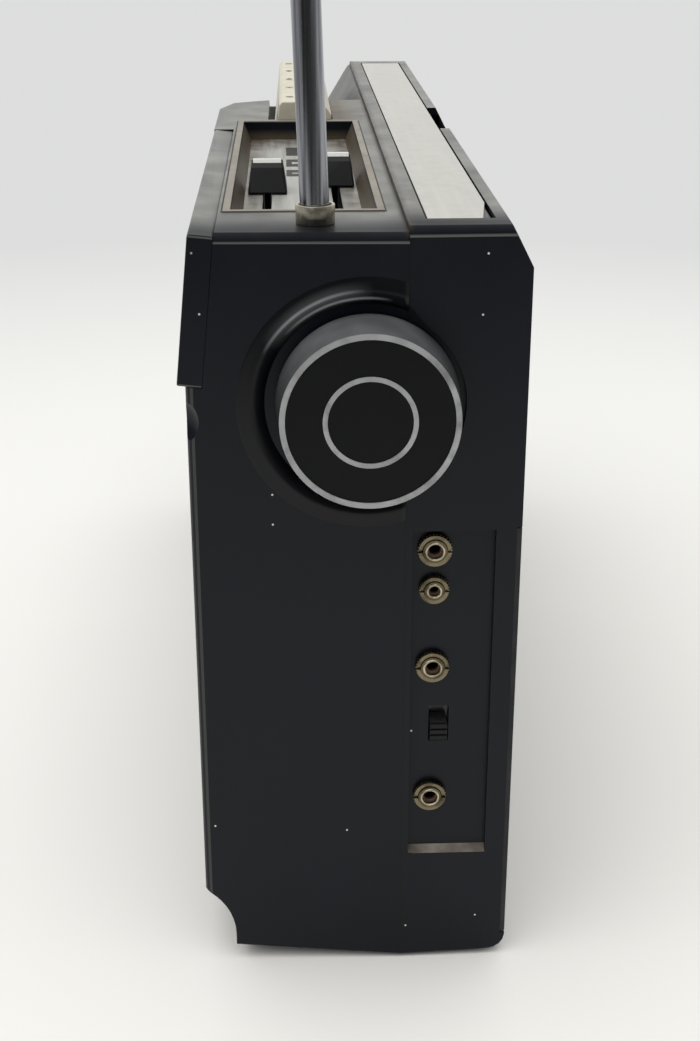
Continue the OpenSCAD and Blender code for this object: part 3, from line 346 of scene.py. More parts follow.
def black_plastic(name, shade, rough, dust, specks=0.0, case=False):
    """Satin black plastic with dust on what faces up, a few specks and a fine grain."""
    p = Painter(name).set(IOR=PLASTIC_IOR, Specular_IOR_Level=PLASTIC_SHINE)
    cloud = p.noise(CLOUDS)
    tone = p.mottled(cloud, srgb(*shade), srgb(*(c + 6 for c in shade)))
    patchy = p.remap(p.noise(90, 5), 0.32, 0.7, 0.45 * dust, 1.08 * dust)
    settled = p.times(p.facing("Z", 0.3, 0.9), patchy)
    if case:
        settled = p.times(settled, p.between(from_right(p, DUST_REACH), 0.06, 1.0))
        p.link(case_shine(p), p.shader.inputs["Specular IOR Level"])
    tone = p.mix(settled, tone, DUST)
    if case:
        tone = joint_and_edge_highlight(p, deck_soil(p, tone))
    if specks:
        tone = p.mix(p.specks(specks), tone, SPECK)
    return moulded(p, tone, cloud, (rough - 0.05, rough + 0.07), PLASTIC_GRAIN)


def painted(name, shade, rough, spread, stain=None, stain_share=0.0, grain=0.05):
    """Plain plastic or paint, a little uneven, with stains where wanted."""
    p = Painter(name)
    cloud = p.noise(60)
    tone = p.mottled(cloud, srgb(*(max(c - spread, 0) for c in shade)), srgb(*shade))
    if stain:
        tone = p.mix(p.remap(p.noise(130, 5), 0.5, 0.8, 0.0, stain_share), tone, srgb(*stain))
    p.colour(tone).roughness(p.remap(cloud, *NOISE_SPAN, rough - 0.06, rough + 0.06))
    if grain:
        p.bump(p.noise(1800, 2), grain)
    return p.material


def metal(name, shade, rough, spread=14, streak=(1, 1, 1), dirt=None, dirt_share=0.0, shine=1.0):
    """Metal with streaks along its rolling direction and dirt in patches."""
    p = Painter(name).set(Metallic=shine)
    lines = p.noise(900, 2, p.stretched(streak))
    tone = p.mottled(lines, srgb(*(max(c - spread, 0) for c in shade)), srgb(*shade))
    if dirt:
        tone = p.mix(p.remap(p.noise(260, 5), 0.46, 0.72, 0.0, dirt_share), tone, srgb(*dirt))
    p.colour(tone).roughness(p.remap(lines, *NOISE_SPAN, rough - 0.05, rough + 0.06))
    return p.bump(lines, 0.04).material


# Where the dirt of the slider plate starts and is full, from its front, back and far edges
FRONT_DIRT = (6.5, 1.5)
BACK_DIRT = (7.5, 2.0)
FAR_DIRT = (22.0, 4.0)


def plate_print():
    """Silver plate of the sliders, dirty brown along its long sides and at its far end."""
    lo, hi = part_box("control_plate")
    p = Painter("silver_plate").set(Metallic=0.35)
    lines = p.noise(700, 2, p.stretched((0.06, 1, 1)))
    tone = p.mottled(lines, srgb(160, 160, 155), srgb(182, 182, 177))
    patch = p.remap(p.noise(180, 5), *NOISE_SPAN, 0.35, 1.0)
    edges = (
        p.place("Y", *(lo[1] + inside * MM for inside in FRONT_DIRT)),
        p.place("Y", *(hi[1] - inside * MM for inside in BACK_DIRT)),
        p.place("X", *(lo[0] + inside * MM for inside in FAR_DIRT)),
    )
    for edge in edges:
        tone = p.mix(p.times(edge, patch), tone, GRIME)
    p.colour(tone).roughness(p.remap(lines, *NOISE_SPAN, 0.34, 0.46))
    return p.bump(lines, 0.03).material


def clear(name, shade, alpha):
    """Clear or smoky window with a little haze."""
    p = Painter(name).set(Alpha=alpha, IOR=1.49)
    haze = p.noise(120, 4)
    p.colour(p.mottled(haze, srgb(*shade), srgb(*(c + 6 for c in shade))))
    return p.roughness(p.remap(haze, *NOISE_SPAN, 0.05, 0.14)).material


def knob_plastic():
    """Black knob whose turned side has gone grey with dust."""
    p = Painter("knob_plastic").set(IOR=PLASTIC_IOR, Specular_IOR_Level=0.2)
    cloud = p.noise(70, 5)
    tone = p.mottled(cloud, srgb(6, 7, 9), srgb(11, 12, 14))
    worn = p.times(p.facing("X", 0.9, 0.3), p.remap(cloud, 0.3, 0.75, 0.26, 0.62))
    tone = p.mix(p.times(worn, p.facing("Z", -0.3, 1.0)), tone, KNOB_DUST)
    p.colour(tone).roughness(p.remap(cloud, *NOISE_SPAN, 0.36, 0.5))
    return p.bump(p.noise(FINE_GRAIN, 2), SMOOTH_GRAIN).material


# Painted highlight arcs of the dish lip: radius, half width, heading in degrees from +Y up, and strength
HIGHLIGHT_ARCS = ((24.9, 0.5, 108, 0.95), (26.6, 0.55, 122, 0.6), (26.0, 3.0, 118, 0.18))
# How well a point's heading has to agree with the arc's, as a cosine, to start and to be full
HIGHLIGHT_AIM = (0.86, 0.99)


def lip_plastic():
    """Lip of the knob dish, with painted highlight arcs at its upper front."""
    p = Painter("lip_plastic").set(IOR=PLASTIC_IOR, Specular_IOR_Level=PLASTIC_SHINE)
    cloud = p.noise(CLOUDS)
    tone = p.mottled(cloud, srgb(9, 10, 14), srgb(16, 17, 21))
    knob_y, knob_z = middle("tuning_knob")[1:]
    away = p.vector("SUBTRACT", p.coords, (RIGHT, knob_y, knob_z))
    flat = p.vector("MULTIPLY", away, (0.0, 1.0, 1.0))
    radius = p.vector("LENGTH", flat, result="Value")
    heading = p.vector("NORMALIZE", flat)
    # Painted highlights: pale arcs where the lip's upper front would catch the light
    for centre, half, degrees, strength in HIGHLIGHT_ARCS:
        inner = p.remap(radius, (centre - half) * MM, centre * MM)
        outer = p.remap(radius, (centre + half) * MM, centre * MM)
        turn = math.radians(degrees)
        aim = p.vector("DOT_PRODUCT", heading, (0.0, math.cos(turn), math.sin(turn)), "Value")
        arc = p.times(inner, outer, p.remap(aim, *HIGHLIGHT_AIM, 0.0, strength))
        tone = p.mix(arc, tone, ARC_HIGHLIGHT)
    return moulded(p, tone, cloud, (0.26, 0.36), SMOOTH_GRAIN)


def lid_plastic():
    """Black battery lid with a painted grey highlight along its end edge."""
    p = Painter("lid_plastic").set(IOR=PLASTIC_IOR, Specular_IOR_Level=PLASTIC_SHINE)
    cloud = p.noise(CLOUDS)
    tone = p.mottled(cloud, srgb(15, 17, 22), srgb(21, 23, 28))
    # Painted highlight: paler grey in patches on what faces the right end
    lid_highlight = p.times(p.facing("X", 0.7, 0.95), p.remap(p.noise(120, 4), *NOISE_SPAN, 0.04, 0.2))
    tone = p.mix(lid_highlight, tone, EDGE_HIGHLIGHT)
    return moulded(p, tone, cloud, (0.3, 0.42), PLASTIC_GRAIN)


# Paints and plastics without stains: shade, roughness and how much darker their clouds are
PLAIN = {
    "pointer_red": ((206, 62, 36), 0.4, 14),
    "board": ((150, 104, 52), 0.55, 16),
    "ferrite": ((60, 56, 56), 0.6, 10),
    "rubber": ((38, 38, 38), 0.7, 10),
    "paper_cone": ((46, 45, 44), 0.8, 10),
    "magnet": ((52, 52, 53), 0.6, 10),
    "white_plastic": ((226, 226, 220), 0.4, 10),
}

# Materials by the slot names of the record
MATERIALS = {
    "case_black": black_plastic("case_black", (5, 9, 19), 0.34, 0.62, specks=0.22, case=True),
    "trim_black": black_plastic("trim_black", (8, 9, 12), 0.3, 0.08),
    "key_cream": painted("key_cream", (214, 208, 188), 0.42, 10, stain=(150, 138, 112), stain_share=0.35),
    "clear": clear("clear", (20, 21, 23), 0.05),
    "scale_print": painted("scale_print", (24, 25, 27), 0.7, 6, grain=0.0),
    "silver_plate": plate_print(),
    "handle_alu": metal(
        "handle_alu", (212, 211, 205), 0.4, spread=8, streak=(0.03, 1, 1),
        dirt=(168, 162, 148), dirt_share=0.18),
    "chrome": metal("chrome", (176, 177, 182), 0.2, spread=84, streak=(1, 1, 0.01)),
    "nickel": metal("nickel", (190, 180, 156), 0.25, dirt=(80, 68, 48), dirt_share=0.75),
    "steel": metal(
        "steel", (186, 187, 189), 0.36, streak=(0.1, 1, 1), dirt=(112, 108, 100), dirt_share=0.25),
    **{name: painted(name, *look) for name, look in PLAIN.items()},
}

# Materials of single nodes and of the added pieces
KNOB = knob_plastic()
LID = lid_plastic()
LIP_BLACK = lip_plastic()
RING_METAL = metal(
    "ring_metal", (180, 181, 183), 0.42, spread=26, streak=(1, 0.2, 0.2),
    dirt=(96, 95, 92), dirt_share=0.5, shine=0.4)
SMOKE = clear("smoke", (18, 19, 21), 0.12)
INK = painted("ink", (20, 20, 20), 0.55, 8)
PAINT = painted("paint", (226, 227, 220), 0.5, 8)
BEAD = painted("bead", (150, 143, 131), 0.5, 30, stain=(96, 86, 72), stain_share=0.75)
# Painted grey that stands in for the dusty, sheen-lit deck on a face that lies in shade
PAINTED_DECK_GREY = painted("painted_deck_grey", (104, 104, 101), 0.6, 14)
LINE = painted("line", (34, 32, 29), 0.6, 8)
COLLAR = metal("collar", (206, 200, 184), 0.34, dirt=(112, 102, 82), dirt_share=0.7)
NUT = metal("nut", (128, 119, 98), 0.3, dirt=(50, 44, 33), dirt_share=0.85)
JACK = metal("jack", (106, 97, 78), 0.34, dirt=(42, 36, 28), dirt_share=0.8)
LIP = metal("lip", (198, 190, 166), 0.28, dirt=(98, 88, 68), dirt_share=0.7)
BORE = painted("bore", (116, 92, 74), 0.5, 24, stain=(60, 48, 40), stain_share=0.6)
LEDGE = painted("ledge", (112, 104, 94), 0.7, 34, stain=(176, 170, 160), stain_share=0.6)
SYMBOL = painted("symbol", (104, 96, 80), 0.55, 10)
DECK_PLATE = painted("deck_plate", (48, 49, 51), 0.5, 6, grain=0.0)

KEYS = ("record_key", "play_key", "rewind_key", "forward_key", "stop_key")

# Radius of the bore and of the ring nut of each jack
JACKS = {
    "microphone_jack": (1.8, 4.0),
    "remote_jack": (1.3, 3.5),
    "line_jack": (1.8, 4.0),
    "earphone_jack": (1.8, 4.0),
}

SLOTS = {row["node"]: row["material_slot"] for row in frame["record"]["subparts"]}
OWN_MATERIAL = {
    "tuning_knob": KNOB, "knob_rings": RING_METAL, "cassette_window": SMOKE, "mechanism_plate": DECK_PLATE,
    "antenna_collar": COLLAR, "jack_nuts": NUT, "battery_lid": LID, **{jack: JACK for jack in JACKS},
}

# Widths of the softly rounded edges of some nodes
BEVELS = {
    "handle_trim": 0.25, "handle_bar": 0.3, "volume_knob": 0.5, "tone_knob": 0.5, "tuning_knob": 0.3,
    "dial_housing": 0.5, "cassette_door": 0.3, "battery_lid": 0.25, "switch_lever": 0.12,
    "antenna_collar": 0.3, "jack_nuts": 0.12, **{key: 0.5 for key in KEYS},
}
BEVEL_SEGMENTS = 2
# The least angle in degrees of an edge that is rounded
BEVEL_ANGLE = 40
# Corners closer than this, in metres, are joined first
WELD_REACH = 1e-6


def dress(node, bevel=0.0):
    """Gives a CAD node its material and, where wanted, softly rounded edges."""
    piece = nodes[node]
    piece.data.materials.clear()
    piece.data.materials.append(OWN_MATERIAL.get(node) or MATERIALS[SLOTS[node]])
    if bevel:
        weld = piece.modifiers.new("weld", "WELD")
        weld.merge_threshold = WELD_REACH
        edge = piece.modifiers.new("edges", "BEVEL")
        edge.width = bevel * MM
        edge.segments = BEVEL_SEGMENTS
        edge.limit_method = "ANGLE"
        edge.angle_limit = math.radians(BEVEL_ANGLE)


for node_name in nodes:
    dress(node_name, BEVELS.get(node_name, 0.0))


# Added pieces

def add_mesh(name, vertices, faces, material, body):
    """A new piece of a mesh that rides on a body and has a slot."""
    mesh = bpy.data.meshes.new(name)
    mesh.from_pydata([tuple(v) for v in vertices], [], faces)
    mesh.update()
    piece = bpy.data.objects.new(name, mesh)
    bpy.context.collection.objects.link(piece)
    mesh.materials.append(material)
    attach(piece, body)
    return piece


def prisms(outlines, thick, place):
    """Closed prisms of flat outlines; place maps (u, v, height) to the shared frame."""
    vertices, faces = [], []
    for outline in outlines:
        start, n = len(vertices), len(outline)
        vertices += [place(u, v, 0.0) for u, v in outline] + [place(u, v, thick) for u, v in outline]
        faces.append(tuple(range(start + n - 1, start - 1, -1)))
        faces.append(tuple(range(start + n, start + 2 * n)))
        for k in range(n):
            here, there = start + k, start + (k + 1) % n
            faces.append((here, there, there + n, here + n))
    return vertices, faces


# Points closer than this, in metres, are one
SAME_POINT = 1e-7


def turned(name, profile, place, reach, material, body, steps=72):
    """A closed body of a profile of (radius, height) turned about +X.

    place maps (u, v, height) to the shared frame, and reach(radius) is half of the angle that is left out.
    """
    vertices, faces = [], []
    n = len(profile)
    for k in range(steps + 1):
        for radius, height in profile:
            gap = reach(radius)
            a = gap + (2 * math.pi - 2 * gap) * k / steps
            vertices.append(place(radius * math.cos(a), radius * math.sin(a), height))
    for k in range(steps):
        for j in range(n):
            here, there = k * n + j, k * n + (j + 1) % n
            faces.append((here, there, there + n, here + n))
    if reach(profile[0][0]) > 0:
        faces.append(tuple(range(n - 1, -1, -1)))
        faces.append(tuple(range(steps * n, steps * n + n)))
    piece = add_mesh(name, vertices, faces, material, body)
    bm = bmesh.new()
    bm.from_mesh(piece.data)
    bmesh.ops.remove_doubles(bm, verts=bm.verts, dist=SAME_POINT)
    bmesh.ops.recalc_face_normals(bm, faces=bm.faces)
    bm.to_mesh(piece.data)
    bm.free()
    for face in piece.data.polygons:
        face.use_smooth = len(face.vertices) == 4
    return piece


def rectangle(u0, u1, v0, v1):
    """Corners of a rectangle."""
    return [(u0, v0), (u1, v0), (u1, v1), (u0, v1)]


def circle(u, v, r, n=24):
    """Corners of a circle of n sides."""
    turns = [2 * math.pi * k / n for k in range(n)]
    return [(u + r * math.cos(a), v + r * math.sin(a)) for a in turns]


def triangle(u, v, size):
    """A triangle that points along +u."""
    return [(u - 0.5 * size, v - 0.6 * size), (u + 0.5 * size, v), (u - 0.5 * size, v + 0.6 * size)]


# Symbols of the keys, how far behind a key's front edge they lie, and the thickness of all print
SYMBOLS = {
    "record_key": [circle(0, 0, 1.3)],
    "play_key": [triangle(0, 0, 2.6)],
    "rewind_key": [[(-u, -v) for u, v in triangle(k, 0, 2.0)] for k in (-1.1, 1.1)],
    "forward_key": [triangle(k, 0, 2.0) for k in (-1.1, 1.1)],
    "stop_key": [rectangle(-1.2, 1.2, -1.2, 1.2)],
}
SYMBOL_BACK = 6.6
INK_THICK = 0.06


def key_symbol(key):
    """Symbol printed on the top of a key, near its front edge."""
    lo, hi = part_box(key)
    spot = Vector(((lo[0] + hi[0]) / 2, lo[1] + SYMBOL_BACK * MM, hi[2]))
    vertices, faces = prisms(SYMBOLS[key], INK_THICK, lambda u, v, h: spot + Vector((u, v, h)) * MM)
    add_mesh(key + "_symbol", vertices, faces, SYMBOL, key.removesuffix("_key"))


# Near edge of a slider's crest and foot of the bevel below it, back from its near side and down from its top
CREST_EDGE = (4.1, 0.0)
BEVEL_FOOT = (2.7, 1.9)
# The stripe's reach down and back from that edge, and its gap at the sides
STRIPE_DOWN = 1.0
STRIPE_BACK = 1.6
STRIPE_IN = 1.5


def slider_index(node, body):
    """White index stripe over the near edge of a slider's crest."""
    lo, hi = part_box(node)
    edge = Vector(CREST_EDGE)
    slope = (Vector(BEVEL_FOOT) - edge).normalized()
    rows = [edge + slope * STRIPE_DOWN, edge, edge + Vector((STRIPE_BACK, 0.0))]
    lift = Vector((INK_THICK, INK_THICK))
    outline = rows + [row - lift for row in reversed(rows)]
    width = hi[1] - lo[1] - 2 * STRIPE_IN * MM
    vertices, faces = prisms([outline], width, lambda u, v, h: Vector(
        (hi[0] - u * MM, lo[1] + STRIPE_IN * MM + h, hi[2] - v * MM)))
    add_mesh(node + "_index", vertices, faces, PAINT, body)


# Marks on the slider plate: their sides behind the front face, and the width of their lines and ends
MARK_SIDES = (23.6, 28.6)
MARK_LINE = 1.6
MARK_END = 4.0
# For each mark its distance from the right end, its length and whether it is open
MARKS = ((103, 10, True), (119, 12, True), (138, 15, False))


def open_mark(far, near, front, back):
    """The four strips of a mark that is open in the middle."""
    line, end = MARK_LINE * MM, MARK_END * MM
    inner_front, inner_back = front + line, back - line / 2
    return [
        rectangle(far, near, front, inner_front),
        rectangle(far, near, inner_back, back),
        rectangle(far, far + end, inner_front, inner_back),
        rectangle(near - end, near, inner_front, inner_back),
    ]


def plate_marks():
    """Three printed marks between the two slots, the far one filled, the near ones open."""
    outlines = []
    front, back = (FRONT + side * MM for side in MARK_SIDES)
    for s, long, opened in MARKS:
        near, far = RIGHT - s * MM, RIGHT - (s + long) * MM
        outlines += open_mark(far, near, front, back) if opened else [rectangle(far, near, front, back)]
    vertices, faces = prisms(outlines, INK_THICK * MM, lambda u, v, h: Vector((u, v, PLATE + h)))
    add_mesh("plate_marks", vertices, faces, INK, "case")


# Run of the slider recess's slopes, then the widths and heights of the bead and of the line round it
RECESS_SLOPE = 2.3
BEAD_WIDE = 1.7
BEAD_TALL = 0.3
LINE_WIDE = 0.45
LINE_TALL = 0.03


def recess_border(inner, outer):
    """Four strips round the slider recess, between two distances in mm from its rim."""
    lo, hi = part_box("control_plate")
    front, back = lo[1] - RECESS_SLOPE * MM, hi[1] + RECESS_SLOPE * MM
    near, far = inner * MM, outer * MM
    return [
        rectangle(lo[0] - far, hi[0] + far, front - far, front - near),
        rectangle(lo[0] - far, hi[0] + far, back + near, back + far),
        rectangle(lo[0] - far, lo[0] - near, front - near, back + near),
        rectangle(hi[0] + near, hi[0] + far, front - near, back + near),
    ]


def recess_frame():
    """Pale bead round the slider recess, and a thin dark line outside it."""
    for name, outlines, tall, material in (
            ("recess_bead", recess_border(0.0, BEAD_WIDE), BEAD_TALL, BEAD),
            ("recess_line", recess_border(BEAD_WIDE, BEAD_WIDE + LINE_WIDE), LINE_TALL, LINE)):
        vertices, faces = prisms(outlines, tall * MM, lambda u, v, h: Vector((u, v, DECK + h)))
        add_mesh(name, vertices, faces, material, "case")


# The sloping dial: its tilt, its lower right corner and how far its scale stands out from there
DIAL_TILT = math.radians(6)
DIAL_LOW = Vector((RIGHT, FRONT + 3.9 * MM, DECK - 35.0 * MM))
SCALE_FACE = 1.0
# Ends of the dial's print as distances from the right end, and the margin of its ticks
SCALE_IN = 14
SCALE_LEFT, SCALE_RIGHT = ((RIGHT - corner[0]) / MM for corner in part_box("dial_scale"))
SCALE_ENDS = (SCALE_RIGHT + SCALE_IN, SCALE_LEFT - SCALE_IN)
SCALE_MARGIN = 2

# Rules of the two scales, up the dial's slope, and their ticks
LOWER_RULE = (16.6, 17.0)
UPPER_RULE = (18.6, 19.0)
TICKS = 40
LONG_EVERY = 5
LONG_TICK = 1.9
SHORT_TICK = 1.1
TICK_HALF = 0.15
# The dial's numbers: their size, and each row's place up the slope
NUMBER_SIZE = 3.4
NUMBER_ROWS = (
    (21.6, ("108", "104", "100", "96", "92", "88")),
    (11.2, ("160", "130", "100", "80", "65", "53")),
)
# The first number's place and the scale's length, both in steps from number to number
NUMBER_START = 0.2
NUMBER_STEPS = 5.4


def scale_place(share):
    """Distance from the right end of a place along the dial scale."""
    return SCALE_ENDS[0] + SCALE_MARGIN + (SCALE_ENDS[1] - SCALE_ENDS[0] - 2 * SCALE_MARGIN) * share


def on_dial(s, up, out):
    """A point s from the right end, up the slope and out of it, in mm."""
    slope = Matrix.Rotation(-DIAL_TILT, 3, "X")
    return DIAL_LOW + slope @ Vector((-s, -out, up)) * MM


def dial_lines():
    """Rules and ticks of the two dial scales."""
    outlines = [rectangle(*SCALE_ENDS, *rule) for rule in (LOWER_RULE, UPPER_RULE)]
    for k in range(TICKS + 1):
        s = scale_place(k / TICKS)
        tall = LONG_TICK if k % LONG_EVERY == 0 else SHORT_TICK
        outlines.append(rectangle(s - TICK_HALF, s + TICK_HALF, UPPER_RULE[1], UPPER_RULE[1] + tall))
        outlines.append(rectangle(s - TICK_HALF, s + TICK_HALF, LOWER_RULE[0] - tall, LOWER_RULE[0]))
    vertices, faces = prisms(outlines, INK_THICK, lambda u, v, h: on_dial(u, v, SCALE_FACE + h))
    flipped = [tuple(reversed(f)) for f in faces]
    add_mesh("dial_lines", vertices, flipped, PAINT, "case")


def dial_number(name, words, s, up):
    """A number printed on the dial scale, centred at s and up."""
    text = bpy.data.curves.new(name, "FONT")
    text.body = words
    text.size = NUMBER_SIZE * MM
    text.extrude = INK_THICK * MM / 2
    text.align_x = "CENTER"
    piece = bpy.data.objects.new(name, text)
    bpy.context.collection.objects.link(piece)
    turn = Euler((math.radians(90) - DIAL_TILT, 0, 0)).to_matrix().to_4x4()
    piece.matrix_world = Matrix.Translation(on_dial(s, up, SCALE_FACE + INK_THICK)) @ turn
    text.materials.append(PAINT)
    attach(piece, "case")


# Lip of the knob dish in the front half, as (radius, height), and the draft of that half's end
DISH_LIP = (
    (30.5, -0.1), (29.5, 0.03), (28.3, 0.12), (27.3, 0.3), (26.7, 0.38), (26.1, 0.3), (25.5, 0.12),
    (24.9, -0.1), (24.4, -0.45), (23.9, -0.9), (23.5, -1.4), (23.2, -2.05), (30.5, -2.05),
)
END_DRAFT = 1.0


def dish_lip():
    """Soft lip that the front half raises round the knob, up to the seam."""
    axis_y, axis_z = middle("tuning_knob")[1:]
    to_seam = (SEAM - axis_y) / MM

    def place(u, v, height):
        y = axis_y + u * MM
        lean = END_DRAFT * MM * (SEAM - y) / (SEAM - FRONT)
        return Vector((RIGHT - lean + height * MM, y, axis_z + v * MM))

    turned("dish_lip", DISH_LIP, place, lambda r: math.acos(to_seam / r), LIP_BLACK, "case")


# Lip of a jack, as (radius beyond the bore, height)
LIP_PROFILE = ((0.65, -0.4), (0.6, 0.0), (0.4, 0.16), (0.15, 0.1), (0.0, -0.4))
# Sleeve of a jack: its top and foot behind the face, its gap to the bore, and the bore's share at its foot
SLEEVE_TOP = 0.5
SLEEVE_FOOT = 2.4
SLEEVE_GAP = 0.02
SLEEVE_SHARE = 0.62
JACK_STEPS = 40


def jack_ring(name, jack, profile, material):
    """A ring on the axis of a jack, with heights out from the jack's face."""
    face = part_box(jack)[1][0]
    axis_y, axis_z = middle(jack)[1:]
    turned(name, profile, lambda u, v, h: Vector((face + h * MM, axis_y + u * MM, axis_z + v * MM)),
           lambda r: 0.0, material, "case", JACK_STEPS)


def jack_lip(jack, bore):
    """Bright worn lip round the bore of a jack."""
    profile = [(bore + beyond, height) for beyond, height in LIP_PROFILE]
    jack_ring(jack + "_lip", jack, profile, LIP)


def jack_liner(jack, bore):
    """Brown contact sleeve inside the bore of a jack."""
    outside = bore - SLEEVE_GAP
    profile = ((outside, -SLEEVE_TOP), (SLEEVE_SHARE * bore, -SLEEVE_FOOT), (outside, -SLEEVE_FOOT))
    jack_ring(jack + "_liner", jack, profile, BORE)


# Teeth of a ring nut: how many, their share of the round, their reach in and out, and their gap to the face
TEETH = 30
TOOTH_SHARE = 0.32
TOOTH_IN = 0.2
TOOTH_OUT = 0.16
TOOTH_SHY = 0.5


def nut_knurl(jack, radius):
    """Fine teeth round the ring nut of a jack."""
    lo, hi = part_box("jack_nuts")
    axis_y, axis_z = middle("jack_nuts")[1], middle(jack)[2]
    inside, outside = (radius - TOOTH_IN) * MM, (radius + TOOTH_OUT) * MM
    half = TOOTH_SHARE * math.pi / TEETH
    outlines = []
    for k in range(TEETH):
        a = 2 * math.pi * k / TEETH
        corners = ((inside, a - half), (outside, a - half), (outside, a + half), (inside, a + half))
        outlines.append([(r * math.cos(t), r * math.sin(t)) for r, t in corners])
    depth = hi[0] - lo[0] - TOOTH_SHY * MM
    vertices, faces = prisms(outlines, depth, lambda u, v, h: Vector((lo[0] + h, axis_y + u, axis_z + v)))
    add_mesh(jack + "_knurl", vertices, faces, NUT, "case")


# Jack panel: its sides behind the seam, its lower edge below the deck and its depth
PANEL_SIDES = (1.75, 21.45)
PANEL_LOW = 159.7
PANEL_DEPTH = 2.0
# Its ledge: the rise, how far it is sunk into the case, and how far it stays behind the end face
LEDGE_RISE = 1.3
LEDGE_SUNK = 0.2
LEDGE_SHY = 0.05


def panel_ledge():
    """Dusty sloping ledge along the lower edge of the jack panel."""
    low = DECK - PANEL_LOW * MM
    outline = [
        (-PANEL_DEPTH, -LEDGE_SUNK), (-LEDGE_SHY, -LEDGE_SUNK),
        (-LEDGE_SHY, 0.0), (-PANEL_DEPTH, LEDGE_RISE),
    ]
    width = (PANEL_SIDES[1] - PANEL_SIDES[0]) * MM
    vertices, faces = prisms([outline], width, lambda u, v, h: Vector(
        (RIGHT + u * MM, SEAM + PANEL_SIDES[1] * MM - h, low + v * MM)))
    add_mesh("panel_ledge", vertices, faces, LEDGE, "case")


# Rib at the far end of the key row: from the right end, behind the front face, and its height
CHEEK_ENDS = (299.8, 302.0)
CHEEK_SIDES = (16.4, 38.0)
CHEEK_TALL = 5.6


def key_cheek():
    """Low rib that closes the far end of the key row, on the shelf."""
    near, far = (RIGHT - s * MM for s in CHEEK_ENDS)
    front, back = (FRONT + side * MM for side in CHEEK_SIDES)
    shelf = DECK - KEY_SHELF * MM
    outline = rectangle(far, near, front, back)
    vertices, faces = prisms([outline], CHEEK_TALL * MM, lambda u, v, h: Vector((u, v, shelf + h)))
    # The rib is painted deck grey in place of the shade it lies in
    add_mesh("key_cheek", vertices, faces, PAINTED_DECK_GREY, "case")


for key in KEYS:
    key_symbol(key)
dish_lip()
panel_ledge()
key_cheek()
for jack, (bore, _) in JACKS.items():
    jack_lip(jack, bore)
    jack_liner(jack, bore)
slider_index("volume_knob", "volume")
slider_index("tone_knob", "tone")
plate_marks()
recess_frame()
dial_lines()
for row, (up, numbers) in enumerate(NUMBER_ROWS):
    for k, words in enumerate(numbers):
        share = (k + NUMBER_START) / NUMBER_STEPS
        dial_number("dial_number_%d_%d" % (row, k), words, scale_place(share), up)
for jack, (_, nut_radius) in JACKS.items():
    nut_knurl(jack, nut_radius)


# Stage, light and camera

# Floor, in metres: its left edge, its reach to each side and its right edge
FLOOR_LEFT = -6.0
FLOOR_SIDE = 5.0
FLOOR_RIGHT = 0.9
# Painted pool of light on the floor, in metres: its middle past the right end, and the distances over which
# it fades to the darker tone far off
LIGHT_POOL_OUT = 0.05
LIGHT_POOL_FADE = (0.28, 0.95)


def pale_floor():
    """Pale floor, painted lightest in a pool about the right end where the object's shade falls, and darker
    far off, partly for the wall beyond.
    """
    mesh = bpy.data.meshes.new("floor")
    corners = [(x, y, 0) for x, y in rectangle(FLOOR_LEFT, FLOOR_RIGHT, -FLOOR_SIDE, FLOOR_SIDE)]
    mesh.from_pydata(corners, [], [(0, 1, 2, 3)])
    piece = bpy.data.objects.new("floor", mesh)
    bpy.context.collection.objects.link(piece)
    p = Painter("floor").set(Roughness=0.8, Specular_IOR_Level=0.0)
    tone = p.mottled(p.noise(3), srgb(243, 242, 238), srgb(246, 245, 241))
    away = p.vector("DISTANCE", p.coords, (RIGHT + LIGHT_POOL_OUT, 0.0, 0.0), "Value")
    # Painted light: the floor is lighter near the object against its shade and darker far away
    p.colour(p.mix(p.remap(away, *LIGHT_POOL_FADE), tone, srgb(207, 208, 208)))
    mesh.materials.append(p.material)


ROOM_COLOUR = (1.0, 1.0, 0.985, 1.0)
# Room from left to right, and what is added overhead: two parts of a direction and the strengths there
ROOM_SIDES = (-1.0, 0.9, 0.9, 0.05)
ROOM_OVERHEAD = (0.35, 0.95, 0.0, 0.5)


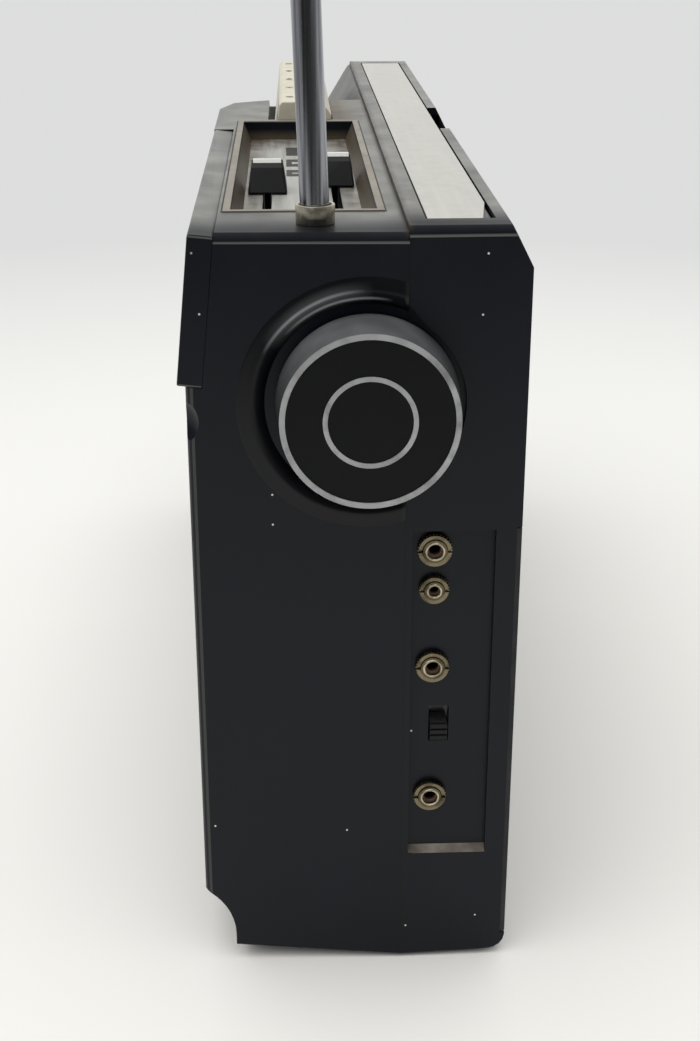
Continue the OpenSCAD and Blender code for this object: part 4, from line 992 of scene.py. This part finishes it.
def soft_world():
    """White room, brighter behind the object than on the camera's side."""
    world = bpy.data.worlds.new("room")
    bpy.context.scene.world = world
    world.use_nodes = True
    tree = world.node_tree
    background = tree.nodes["Background"]
    background.inputs["Color"].default_value = ROOM_COLOUR
    direction = tree.nodes.new("ShaderNodeTexCoord")
    split = tree.nodes.new("ShaderNodeSeparateXYZ")
    total = tree.nodes.new("ShaderNodeMath")
    tree.links.new(direction.outputs["Generated"], split.inputs[0])
    tree.links.new(map_range(tree, split.outputs["X"], ROOM_SIDES), total.inputs[0])
    tree.links.new(map_range(tree, split.outputs["Z"], ROOM_OVERHEAD), total.inputs[1])
    tree.links.new(total.outputs[0], background.inputs["Strength"])


# Light: the direction it comes from, its width in degrees and its power
SUN_FROM = (0.45, -0.35, 1.2)
SUN_WIDTH = 75
SUN_POWER = 1.5


def soft_sun():
    """Wide light from above, a little from the right and the front, the same over the whole floor."""
    data = bpy.data.lights.new("key", "SUN")
    data.angle = math.radians(SUN_WIDTH)
    data.energy = SUN_POWER
    lamp = bpy.data.objects.new("key", data)
    bpy.context.collection.objects.link(lamp)
    lamp.location = SUN_FROM
    lamp.rotation_euler = Vector(SUN_FROM).to_track_quat("Z", "Y").to_euler()


# Camera: its tilt down and its turn, in degrees
CAMERA_TILT = 22.32
CAMERA_TURN = 2.268
# Its place past the right end, behind the front face and above the floor
CAMERA_PLACE = (338.3, 23.9, 263.9)
# Its focal length and the photo's height, in pixels
FOCAL_PIXELS = 1565
PHOTO_PIXELS = 1041
SENSOR = 36


def photo_camera():
    """Camera at the photo's place, worked out from the perspective of the deck and the end."""
    tilt, turn = math.radians(CAMERA_TILT), math.radians(CAMERA_TURN)
    out, back, up = CAMERA_PLACE
    data = bpy.data.cameras.new("camera")
    data.sensor_fit = "VERTICAL"
    data.sensor_height = SENSOR
    data.lens = SENSOR * FOCAL_PIXELS / PHOTO_PIXELS
    data.clip_start = 10 * MM
    camera = bpy.data.objects.new("camera", data)
    bpy.context.collection.objects.link(camera)
    camera.location = (RIGHT + out * MM, FRONT + back * MM, up * MM)
    forward = Vector((
        -math.cos(turn) * math.cos(tilt), math.sin(turn) * math.cos(tilt), -math.sin(tilt)))
    camera.rotation_euler = forward.to_track_quat("-Z", "Y").to_euler()
    bpy.context.scene.camera = camera


pale_floor()
soft_world()
soft_sun()
photo_camera()
bpy.context.scene.view_settings.view_transform = "Standard"
